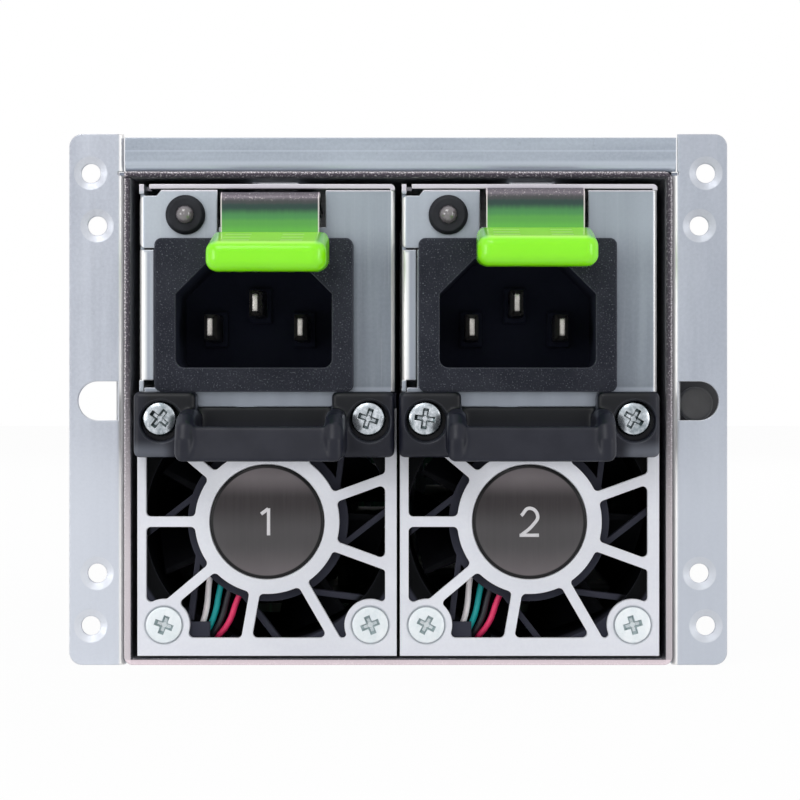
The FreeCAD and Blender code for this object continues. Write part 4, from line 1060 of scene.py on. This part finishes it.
    def dress(self, target: Thing, name: str) -> None:
        """Give every slot of an object one finish.

        Args:
            target: the object.
            name: the finish's name.
        """
        material = self.by_name[name]
        if not target.material_slots:
            target.data.materials.append(material)
        for slot in target.material_slots:
            slot.material = material


# ------------------------------------------------------------------ mesh helpers
def placed(name: str, data: bpy.types.ID) -> Thing:
    """Put a mesh, curve, lamp or camera into the scene as an object, and return the object.

    Args:
        name: the object's name.
        data: the mesh, curve, lamp or camera.

    Returns:
        The new object.
    """
    made = bpy.data.objects.new(name, data)
    bpy.context.scene.collection.objects.link(made)
    return made


def add_piece(name: str, shape: bmesh.types.BMesh) -> Thing:
    """Turn a finished bmesh into an object at the origin.

    Args:
        name: the piece's name.
        shape: the bmesh, in metres, already in its place.

    Returns:
        The new object.
    """
    bmesh.ops.remove_doubles(shape, verts=shape.verts, dist=1e-7)
    bmesh.ops.recalc_face_normals(shape, faces=shape.faces)
    mesh = bpy.data.meshes.new(name)
    shape.to_mesh(mesh)
    shape.free()
    return placed(name, mesh)


def shade_by_angle(target: Thing, degrees: float) -> None:
    """Shade smooth, but keep edges sharper than an angle in degrees."""
    target.data.shade_smooth()
    target.data.set_sharp_from_angle(angle=math.radians(degrees))


def finished_mesh(target: Thing) -> bpy.types.Mesh:
    """Return a new mesh of an object with its modifiers or its curve's form applied.

    Args:
        target: a mesh or curve object.

    Returns:
        The new mesh.
    """
    bpy.context.view_layer.update()
    graph = bpy.context.evaluated_depsgraph_get()
    return bpy.data.meshes.new_from_object(target.evaluated_get(graph))


def settle(target: Thing) -> None:
    """Apply an object's modifiers to its mesh.

    Args:
        target: the object.
    """
    finished = finished_mesh(target)
    target.modifiers.clear()
    old, target.data = target.data, finished
    bpy.data.meshes.remove(old)


def combine(target: Thing, others: list[Thing], operation: str) -> None:
    """Queue a solid operation between an object and each of some others.

    Args:
        target: the object to change.
        others: the solids to combine with it.
        operation: DIFFERENCE or UNION.
    """
    for other in others:
        step = target.modifiers.new("combine", "BOOLEAN")
        step.operation, step.solver, step.object = operation, "EXACT", other


def drop(things: list[Thing]) -> None:
    """Remove objects from the file."""
    for thing in things:
        bpy.data.objects.remove(thing)


def carve(target: Thing, tools: list[Thing]) -> None:
    """Cut tools out of an object, then remove them.

    Args:
        target: the object to cut.
        tools: the solids to take out of it.
    """
    combine(target, tools, "DIFFERENCE")
    settle(target)
    drop(tools)


def about_y(shape: bmesh.types.BMesh, degrees: float) -> None:
    """Turn a whole shape about the Y axis."""
    bmesh.ops.rotate(shape, cent=(0, 0, 0), matrix=Matrix.Rotation(math.radians(degrees), 3, "Y"),
                     verts=shape.verts)


def cone_along_y(segments: int, radii: Span, depth: float) -> bmesh.types.BMesh:
    """Make a closed cone or cylinder along Y, about the origin.

    Args:
        segments: the number of its sides.
        radii: its radius at the front and at the back.
        depth: its length.

    Returns:
        The bmesh.
    """
    shape = bmesh.new()
    bmesh.ops.create_cone(shape, cap_ends=True, segments=segments, radius1=radii[0], radius2=radii[1],
                          depth=depth)
    bmesh.ops.rotate(shape, cent=(0, 0, 0), matrix=Matrix.Rotation(-math.pi / 2, 3, "X"),
                     verts=shape.verts)
    return shape


def turned_profile(points: list[Span], steps: int = 40) -> bmesh.types.BMesh:
    """Turn an outline of (radius, y) points a full turn about the Y axis.

    Args:
        points: radius and y, in metres, from the axis and back to it.
        steps: the number of steps round.

    Returns:
        The bmesh.
    """
    shape = bmesh.new()
    line = [shape.verts.new((radius, y, 0.0)) for radius, y in points]
    edges = [shape.edges.new(pair) for pair in zip(line, line[1:])]
    bmesh.ops.spin(shape, geom=line + edges, cent=(0, 0, 0), axis=(0, 1, 0), angle=2 * math.pi,
                   steps=steps, use_merge=True)
    bmesh.ops.remove_doubles(shape, verts=shape.verts, dist=1e-7)
    return shape


def round_line(name: str, radius: float, resolution: int) -> bpy.types.Curve:
    """Start a curve with a round section, a resolution and closed ends.

    Args:
        name: the curve's name.
        radius: its section's radius.
        resolution: how finely its section is rounded.

    Returns:
        The curve, still without a spline.
    """
    line = bpy.data.curves.new(name, "CURVE")
    line.dimensions = "3D"
    line.bevel_depth = radius
    line.bevel_resolution = resolution
    line.use_fill_caps = True
    return line


def insulated_lead(name: str, route: list[Vector], radius: float) -> Thing:
    """Lay one round lead on a smooth line.

    Args:
        name: the lead's name.
        route: the control points of its middle line, in metres.
        radius: its radius.

    Returns:
        The lead, a curve with closed ends.
    """
    line = round_line(name, radius, 6)
    spline = line.splines.new("NURBS")
    spline.points.add(len(route) - 1)
    for point, spot in zip(spline.points, route):
        point.co = (*spot, 1.0)
    spline.order_u = 3
    spline.use_endpoint_u = True
    spline.resolution_u = 10
    return placed(name, line)


class Bay(Enum):
    """The number of each bay, as strokes; each stroke is a list of (x, z, is it a sharp corner)."""

    ONE = (((-0.9, 1.2, True), (0.2, 2.0, True)), ((0.25, 2.1, True), (0.25, -2.1, True)))
    TWO = (((-1.3, 0.95, False), (0.0, 2.1, False), (1.25, 0.95, False), (0.55, -0.45, False),
            (-1.3, -2.08, True)), ((-1.55, -2.08, True), (1.45, -2.08, True)))


def stroked_numeral(name: str, bay: Bay, stroke: float, spot: Vector) -> Thing:
    """Make a bay's number from even round strokes that stand a hair proud.

    Args:
        name: the piece's name.
        bay: the bay.
        stroke: half a stroke's width, in metres.
        spot: the number's middle, on the face that carries it.

    Returns:
        The piece, as a mesh.
    """
    line = round_line(name, stroke, 4)
    for corners in bay.value:
        spline = line.splines.new("BEZIER")
        spline.bezier_points.add(len(corners) - 1)
        spline.resolution_u = 14
        for point, (x, z, sharp) in zip(spline.bezier_points, corners):
            point.co = (x * MM, 0.0, z * MM)
            point.handle_left_type = point.handle_right_type = "VECTOR" if sharp else "AUTO"
    holder = placed(name, line)
    mesh = finished_mesh(holder)
    drop([holder])
    mesh.transform(Matrix.Diagonal((1.0, 0.12, 1.0, 1.0)))
    mesh.transform(Matrix.Translation(spot))
    mesh.shade_smooth()
    return placed(name, mesh)


# ------------------------------------------------------------------ screws
class Head(Enum):
    """The head forms in use: (share of the radius, metres behind the front) out from the middle."""

    PAN = ((0.0, 0.0), (0.5, 0.00005), (0.75, 0.00016), (0.9, 0.00036), (0.97, 0.00065), (1.0, 0.0011))
    FLAT = ((0.0, 0.0), (0.88, 0.0), (0.96, 0.00005), (1.0, 0.00016), (1.0, 0.0004), (0.98, 0.00046))


@dataclass
class CrossScrew:
    """One cross-recess screw that points along +Y; sizes in metres."""

    head: Head
    radius: float
    front: float
    seat: float
    end: float
    arm: float
    width: float
    depth: float
    shank: float = 0.0015
    point: float = 0.0005
    taper: Triple = (0.56, 1.0, 0.34)

    def outline(self) -> list[Span]:
        """Return the head and shank outline as (radius, y) points.

        Returns:
            The points, from the head's middle to the shank's end.
        """
        crown = [(self.radius * share, self.front + back) for share, back in self.head.value]
        if self.head is Head.PAN:
            crown += [(self.radius, self.seat - 0.0001), (self.radius - 0.0001, self.seat)]
        return crown + [(self.shank, self.seat), (self.shank, self.end - self.point),
                        (self.shank * 0.5, self.end), (0.0, self.end)]

    def cutter(self, turn: float) -> Thing:
        """Make one tapered bar of the cross, turned by an angle in degrees.

        Args:
            turn: the bar's turn about the screw's axis, in degrees.

        Returns:
            The bar.
        """
        shape = bmesh.new()
        bmesh.ops.create_cube(shape, size=1.0)
        bmesh.ops.scale(shape, vec=(2 * self.arm, 2 * self.depth, self.width), verts=shape.verts)
        bmesh.ops.scale(shape, vec=self.taper, verts=[v for v in shape.verts if v.co.y > 0])
        bmesh.ops.translate(shape, vec=(0, self.front, 0), verts=shape.verts)
        about_y(shape, turn)
        return add_piece("recess_tool", shape)

    def heart(self, turn: float) -> Thing:
        """Make the square pyramid that opens the middle of the cross.

        Args:
            turn: the recess's turn about the screw's axis, in degrees.

        Returns:
            The pyramid.
        """
        shape = cone_along_y(4, (self.width, self.width * 0.4), self.depth * 2.0)
        about_y(shape, turn)
        bmesh.ops.translate(shape, vec=(0, self.front + self.depth * 0.1, 0), verts=shape.verts)
        return add_piece("recess_tool", shape)

    def build(self, name: str, spots: list[Triple]) -> Thing:
        """Make one piece with a screw at every spot.

        Args:
            name: the piece's name.
            spots: x and z in metres and the recess's turn in degrees.

        Returns:
            The finished piece.
        """
        whole = bmesh.new()
        for x, z, turn in spots:
            single = add_piece("screw_form", turned_profile(self.outline()))
            carve(single, [self.cutter(turn), self.cutter(turn + 90), self.heart(turn)])
            single.data.transform(Matrix.Translation((x, 0, z)))
            whole.from_mesh(single.data)
            drop([single])
        made = add_piece(name, whole)
        shade_by_angle(made, 30.0)
        return made


# ------------------------------------------------------------------ the handle
@dataclass
class PullHandle:
    """The moulded handle: two screwed lugs, a web, two sloping fingers and the grip; sizes in metres."""

    low: Vector
    high: Vector
    screw_low: Vector
    screw_high: Vector
    lug_in: float = 0.0104
    lug_thick: float = 0.005
    lug_foot: float = -0.0089
    lug_round: float = 0.0009
    web_thick: float = 0.002
    web_up: Span = (-0.008, -0.00115)
    web_round: float = 0.0003
    finger_in: float = 0.0097
    finger_out: float = 0.0126
    finger_top: float = -0.0015
    finger_round: float = 0.00134
    finger_back: float = -0.0008
    grip_back: float = -0.012
    grip_top: float = -0.0041
    grip_set_in: float = 0.0016
    grip_round: float = 0.0006
    grip_inset: float = 0.0004
    overlap: float = 0.001
    voxel: float = 0.00024
    seat: float = 0.0023
    recess_drop: float = 0.0004
    recess_r: float = 0.0031
    mouth_r: float = 0.0036
    hole_r: float = 0.0016

    def _slab(self, corner: Triple, far: Triple, rounding: float) -> Thing:
        """Make a block with all its edges rounded.

        Args:
            corner: its lowest corner.
            far: its highest corner.
            rounding: the radius of its edges.

        Returns:
            The block.
        """
        shape = bmesh.new()
        bmesh.ops.create_cube(shape, size=1.0)
        low, high = Vector(corner), Vector(far)
        bmesh.ops.scale(shape, vec=high - low, verts=shape.verts)
        bmesh.ops.translate(shape, vec=(low + high) / 2, verts=shape.verts)
        bmesh.ops.bevel(shape, geom=shape.edges[:], offset=rounding, segments=5, profile=0.5,
                        affect="EDGES", material=-1)
        return add_piece("handle_form", shape)

    def _plank(self, name: str, outline: list[Span], span: Span, rounding: float) -> Thing:
        """Extrude a side outline across X and round the rims of its two ends.

        Args:
            name: the piece's name.
            outline: the corners as (y, z).
            span: where it starts and ends along X.
            rounding: the radius of the rims.

        Returns:
            The form.
        """
        shape = bmesh.new()
        face = shape.faces.new([shape.verts.new((span[0], y, z)) for y, z in outline])
        grown = bmesh.ops.extrude_face_region(shape, geom=[face])["geom"]
        moved = [item for item in grown if isinstance(item, bmesh.types.BMVert)]
        bmesh.ops.translate(shape, vec=(span[1] - span[0], 0, 0), verts=moved)
        rims = [edge for edge in shape.edges
                if any(all(abs(v.co.x - end) < 1e-6 for v in edge.verts) for end in span)]
        bmesh.ops.bevel(shape, geom=rims, offset=rounding, segments=6, profile=0.5,
                        affect="EDGES", material=-1)
        return add_piece(name, shape)

    def _finger(self, middle: float, side: int) -> Thing:
        """Make one finger, which slopes from the lug's top to the grip's face.

        Args:
            middle: the handle's middle, along X.
            side: -1 for the left finger, 1 for the right one.

        Returns:
            The finger.
        """
        front, foot, top = self.low.y, self.low.z, self.finger_top
        outline = [(self.finger_back, top), (-0.0100, top), (-0.0135, top - 0.0006),
                   (-0.0158, top - 0.0021), (front, top - 0.0045), (front, foot), (self.grip_back, foot),
                   (-self.lug_thick, self.lug_foot), (self.finger_back, self.lug_foot)]
        span = (middle + side * self.finger_in, middle + side * self.finger_out)
        return self._plank("handle_form", outline, span, self.finger_round)

    def _bore(self, x: float, z: float, span: Span, radii: Span) -> Thing:
        """Make a round or conical cutting tool along Y.

        Args:
            x: its middle, along X.
            z: its middle, along Z.
            span: where it starts and ends along Y.
            radii: its radius at both ends.

        Returns:
            The tool.
        """
        shape = cone_along_y(48, radii, span[1] - span[0])
        bmesh.ops.translate(shape, vec=(x, (span[0] + span[1]) / 2, z), verts=shape.verts)
        return add_piece("handle_tool", shape)

    def _forms(self, name: str) -> list[Thing]:
        """Make the grip, which takes the piece's name, then the web, the lugs and the fingers.

        Args:
            name: the handle's name.

        Returns:
            The forms, still separate.
        """
        middle, front = (self.low.x + self.high.x) / 2, self.low.y
        reach = (self.high.x - self.low.x) / 2
        wide, web = self.finger_out - self.grip_inset, self.lug_in + self.overlap
        forms = [
            self._plank(name, [(front + self.grip_set_in, self.grip_top), (front + 0.0001, self.low.z),
                               (self.grip_back, self.low.z), (self.grip_back, self.grip_top)],
                        (middle - wide, middle + wide), self.grip_round),
            self._slab((middle - web, -self.web_thick, self.web_up[0]), (middle + web, 0, self.web_up[1]),
                       self.web_round),
        ]
        for side in (-1, 1):
            inner, outer = sorted((middle + side * self.lug_in, middle + side * reach))
            forms.append(self._slab((inner, -self.lug_thick, self.lug_foot), (outer, 0, self.high.z),
                                    self.lug_round))
            forms.append(self._finger(middle, side))
        return forms

    def build(self, name: str) -> Thing:
        """Join the forms, soften the joins as a moulding has them, and sink the screws' recesses.

        Args:
            name: the piece's name.

        Returns:
            The handle.
        """
        body, *others = self._forms(name)
        combine(body, others, "UNION")
        melted = body.modifiers.new("melt", "REMESH")
        melted.mode, melted.voxel_size = "VOXEL", self.voxel
        relaxed = body.modifiers.new("relax", "SMOOTH")
        relaxed.factor, relaxed.iterations = 0.5, 5
        settle(body)
        drop(others)
        radius = (self.screw_high.z - self.screw_low.z) / 2
        z = (self.screw_low.z + self.screw_high.z) / 2
        seat, face = self.screw_low.y + self.seat, -self.lug_thick
        tools = []
        for x in (self.screw_low.x + radius, self.screw_high.x - radius):
            tools += [self._bore(x, z - self.recess_drop, (self.low.y, seat), (self.recess_r, self.recess_r)),
                      self._bore(x, z - self.recess_drop, (face - 0.0002, face + 0.00035),
                                 (self.mouth_r, self.recess_r)),
                      self._bore(x, z, (seat - 0.0005, 0.0005), (self.hole_r, self.hole_r))]
        carve(body, tools)
        shade_by_angle(body, 38.0)
        return body


# ------------------------------------------------------------------ the module
@dataclass
class Module:
    """One hot-swap module: its skins, fan, inlet, handle, light and latch; sizes in metres."""

    side: str
    bay: Bay
    finishes: Finishes
    nodes: dict[str, Thing]

    FINISH_OF = {
        "case_tray": "tray_sheet", "case_cover": "cover_sheet", "fan_guard": "guard_coat",
        "guard_badge": "badge_dark", "fan_frame": "fan_black", "fan_rotor": "rotor_black",
        "fan_leads": "lead_black", "fan_screws": "screw_zinc", "pull_handle": "handle_black",
        "handle_screws": "screw_zinc", "inlet_shell": "inlet_black", "inlet_pins": "contact_blade",
        "led_holder": "lamp_bezel", "led": "lamp_lens", "latch_strip": "{side}_spring_strip",
        "latch_tab": "tab_green", "latch_rivets": "rivet_zinc", "main_board": "circuit_board",
        "heat_sinks": "heat_sink", "transformer": "ferrite_grey", "bulk_capacitor": "capacitor_blue",
        "line_filter": "circuit_board", "case_screws": "rivet_zinc",
    }
    BADGE_OUTLINE = ((0.0, 0.0), (0.5, 0.00001), (0.8, 0.00005), (0.94, 0.00012), (0.985, 0.0002),
                     (1.0, 0.00035))
    LEAD_EXITS = {"white": (-9.3, -28.1), "teal": (-7.6, -29.3), "black": (-6.35, -30.35),
                  "red": (-5.0, -31.4)}
    LEAD_DEPTH, LEAD_TUCK, LEAD_NEAR, LEAD_TURN = 0.0036, 0.2, 0.45, 0.005
    LEAD_BOW = Vector((0.0008, 0, -0.0001))
    PAN_SHIFT, PAN_SEAT, FLAT_SEAT, FLAT_SHARE = 0.2 * MM, 2.3 * MM, 1.2 * MM, 0.96
    PAN_CROSS, FLAT_CROSS = (2.1 * MM, 1.36 * MM, 1.05 * MM), (1.9 * MM, 1.4 * MM, 0.9 * MM)
    BADGE_STEPS, BADGE_PROUD, STROKE = 72, 0.00001, 0.00028

    def node(self, name: str) -> str:
        """Return a node's full name on this side."""
        return f"{self.side}_{name}"

    def settle_piece(self, piece: Thing, finish: str, body: str, stands_for: tuple[str, ...]) -> None:
        """Dress a new piece and tie it to the frame.

        Args:
            piece: the new piece.
            finish: its finish.
            body: the CAD body it moves with.
            stands_for: the nodes it replaces, without the side.
        """
        self.finishes.dress(piece, finish)
        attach(piece, self.node(body))
        if stands_for:
            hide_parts(*[self.node(name) for name in stands_for])
        LOG.info("made %s", piece.name)

    def dress(self) -> None:
        """Give every CAD node of the module its finish."""
        for name, finish in self.FINISH_OF.items():
            self.finishes.dress(self.nodes[self.node(name)], finish.format(side=self.side))

    def screws(self, turns: tuple[float, float, float, float]) -> None:
        """Make the handle's pan heads and the guard's flat heads.

        Args:
            turns: the turn of each recess, upper pair and then lower pair.
        """
        for stands_for, name, finish, (first, second), shift in (
                ("handle_screws", "pan_screws", "screw_zinc", turns[:2], self.PAN_SHIFT),
                ("fan_screws", "flat_screws", "flat_screw_zinc", turns[2:], 0.0)):
            low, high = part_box(self.node(stands_for))
            radius, z = (high.z - low.z) / 2, (low.z + high.z) / 2
            if stands_for == "handle_screws":
                screw = CrossScrew(Head.PAN, radius, low.y, low.y + self.PAN_SEAT, high.y, *self.PAN_CROSS)
            else:
                screw = CrossScrew(Head.FLAT, radius * self.FLAT_SHARE, low.y, self.FLAT_SEAT, high.y,
                                   *self.FLAT_CROSS)
            spots = [(low.x + radius - shift, z, first), (high.x - radius - shift, z, second)]
            self.settle_piece(screw.build(self.node(name), spots), finish, "module", (stands_for,))

    def handle(self) -> None:
        """Mould the handle over the plain one."""
        piece = PullHandle(*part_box(self.node("pull_handle")), *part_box(self.node("handle_screws")))
        self.settle_piece(piece.build(self.node("moulded_handle")), "handle_black", "module",
                          ("pull_handle",))

    def leads(self) -> None:
        """Lay the fan's four coloured leads from the hub plate's rim to the frame's corner and back."""
        low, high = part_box(self.node("fan_leads"))
        fan_low, fan_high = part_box(self.node("fan_frame"))
        middle = (fan_low.x + fan_high.x) / 2
        for index, (colour, (x, z)) in enumerate(self.LEAD_EXITS.items()):
            corner = Vector((low.x + LEAD_R + index * LEAD_PITCH, self.LEAD_DEPTH, low.z + LEAD_R))
            rim = Vector((middle + x * MM, self.LEAD_DEPTH, z * MM))
            inner = rim + (rim - corner) * self.LEAD_TUCK
            near = corner + (rim - corner) * self.LEAD_NEAR + self.LEAD_BOW
            route = [inner, rim, near, corner, corner + Vector((0, self.LEAD_TURN, 0)),
                     Vector((corner.x, high.y, corner.z))]
            lead = insulated_lead(self.node(colour + "_lead"), route, LEAD_R)
            stands_for = () if index else ("fan_leads",)
            self.settle_piece(lead, "lead_" + colour, "module", stands_for)

    def badge(self) -> None:
        """Make the crowned disc and the bay's number on it."""
        low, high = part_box(self.node("guard_badge"))
        radius, middle = (high.x - low.x) / 2, (low + high) / 2
        outline = [(radius * share, low.y + back) for share, back in self.BADGE_OUTLINE]
        shape = turned_profile(outline + [(radius, high.y), (0.0, high.y)], self.BADGE_STEPS)
        bmesh.ops.translate(shape, vec=(middle.x, 0, middle.z), verts=shape.verts)
        disc = add_piece(self.node("crowned_badge"), shape)
        shade_by_angle(disc, 40.0)
        self.settle_piece(disc, "badge_dark", "module", ("guard_badge",))
        spot = Vector((middle.x, low.y + self.BADGE_PROUD, middle.z))
        digit = stroked_numeral(self.node("bay_number"), self.bay, self.STROKE, spot)
        self.settle_piece(digit, "digit_grey", "module", ())


# ------------------------------------------------------------------ the cage
@dataclass
class Cage:
    """The folded cage with its flanges, rear panel, boards and mute button."""

    finishes: Finishes
    nodes: dict[str, Thing]

    FINISH_OF = {
        "cage_body": "cage_sheet", "left_flange_bracket": "flange_sheet",
        "right_flange_bracket": "flange_sheet", "top_flange_bracket": "top_flange_sheet",
        "cage_rivets": "rivet_zinc", "bay_divider": "cage_sheet", "rear_panel": "top_flange_sheet",
        "panel_screws": "rivet_zinc", "cable_grommet": "rubber_black",
        "backplane_board": "circuit_board", "module_sockets": "socket_black",
        "mute_switch_body": "button_grey", "mute_button": "button_grey",
    }

    def dress(self) -> None:
        """Give every CAD node of the cage its finish."""
        for name, finish in self.FINISH_OF.items():
            self.finishes.dress(self.nodes[name], finish)
        LOG.info("dressed the cage")


# ------------------------------------------------------------------ studio
@dataclass
class Studio:
    """A plain pale floor, soft lamps, a white surround and the camera; sizes in metres."""

    floor: float
    eye: Triple = (0.0057, -0.400, -0.0016)
    lens: float = 116.1
    shift: Span = (-0.0438, 0.0123)
    pale: Colour = (0.86, 0.86, 0.86)
    white: Colour = (1.0, 1.0, 1.0)
    floor_reach: float = 6.0
    floor_white: float = 0.95
    light_level: float = 0.68

    LAMPS = (("key_lamp", (-0.35, -0.75, 0.95), (0.6, 0.6), 4.2),
             ("left_lamp", (-0.8, -0.6, -0.2), (0.35, 1.0), 4.4),
             ("right_lamp", (0.95, -0.55, -0.05), (0.35, 1.1), 3.6),
             ("back_lamp", (0.35, 1.3, 0.9), (0.8, 0.8), 5.0))

    def build(self) -> None:
        """Make the floor, the surround, the lamps and the camera."""
        self._floor()
        self._surround()
        for lamp in self.LAMPS:
            self._lamp(*lamp)
        self._camera()
        LOG.info("built the studio")

    def _white_share(self, graph: Graph) -> Socket:
        """Return 1 for rays from the camera, a gloss or a glass, and 0 for light on the object.

        Args:
            graph: the floor's or the world's graph.

        Returns:
            The share, 0 or 1.
        """
        path = graph.node("LightPath")
        seen = graph.sum("MAXIMUM", path.outputs["Is Camera Ray"], path.outputs["Is Glossy Ray"])
        return graph.sum("MAXIMUM", seen, path.outputs["Is Transmission Ray"])

    def _floor(self) -> None:
        """Lay the floor, which shows white and keeps the object's shadow."""
        shape = bmesh.new()
        bmesh.ops.create_grid(shape, x_segments=2, y_segments=2, size=self.floor_reach)
        bmesh.ops.translate(shape, vec=(0, 0, self.floor), verts=shape.verts)
        ground = add_piece("studio_floor", shape)
        material = bpy.data.materials.new("studio_floor")
        material.use_nodes = True
        graph = Graph(material.node_tree)
        matt = graph.node("BsdfDiffuse", {"Color": rgba(self.pale)})
        glow = graph.node("Emission", {"Color": rgba(self.white), "Strength": 1.0})
        share = graph.times(self._white_share(graph), self.floor_white)
        both = graph.node("MixShader", {0: share, 1: matt.outputs[0], 2: glow.outputs[0]})
        graph.node("OutputMaterial", {"Surface": both.outputs[0]})
        ground.data.materials.append(material)
        ground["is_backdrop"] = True

    def _surround(self) -> None:
        """Set the world: white where it is seen, softer where it lights."""
        world = bpy.data.worlds.new("white_surround")
        bpy.context.scene.world = world
        world.use_nodes = True
        graph = Graph(world.node_tree)
        strength = graph.ramp(self._white_share(graph), 0.0, 1.0, self.light_level, 1.0)
        back = graph.node("Background", {"Color": rgba(self.white), "Strength": strength})
        graph.node("OutputWorld", {"Surface": back.outputs[0]})

    def _lamp(self, name: str, spot: Triple, size: Span, power: float) -> None:
        """Hang one softbox that faces the object.

        Args:
            name: the lamp's name.
            spot: where it hangs.
            size: its width and height.
            power: its power in watts.
        """
        data = bpy.data.lights.new(name, "AREA")
        data.shape = "RECTANGLE"
        data.size, data.size_y = size
        data.energy = power
        lamp = placed(name, data)
        lamp.location = spot
        lamp.rotation_mode = "QUATERNION"
        lamp.rotation_quaternion = (-Vector(spot)).to_track_quat("-Z", "Y")

    def _camera(self) -> None:
        """Set the camera square to the front."""
        data = bpy.data.cameras.new("front_camera")
        data.lens = self.lens
        data.sensor_width = 36.0
        data.shift_x, data.shift_y = self.shift
        data.clip_start, data.clip_end = 0.01, 50.0
        camera = placed("front_camera", data)
        camera.location = self.eye
        camera.rotation_euler = (math.pi / 2, 0, 0)
        bpy.context.scene.camera = camera


def plain_box() -> list[list[float]]:
    """Return the shown object's box as two plain lists."""
    return [list(corner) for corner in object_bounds()]


def main() -> None:
    """Load the frame, take the CAD box for the floor, and build and dress every sub-assembly."""
    logging.basicConfig(level=logging.INFO, format="%(name)s: %(message)s")
    drop(list(bpy.data.objects))
    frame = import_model()
    cad_box = plain_box()
    scene = bpy.context.scene
    scene.view_settings.view_transform = "Standard"
    Studio(floor=cad_box[0][2]).build()
    finishes = Finishes(Effects())
    nodes = frame["nodes"]
    Cage(finishes, nodes).dress()
    recess_turns = {"left": (38.0, 18.0, 20.0, -22.0), "right": (8.0, 30.0, 28.0, -16.0)}
    for side, bay in (("left", Bay.ONE), ("right", Bay.TWO)):
        module = Module(side, bay, finishes, nodes)
        module.dress()
        module.screws(recess_turns[side])
        module.badge()
        module.handle()
        module.leads()
    LOG.info("boxes noted")


if __name__ == "__main__":
    main()
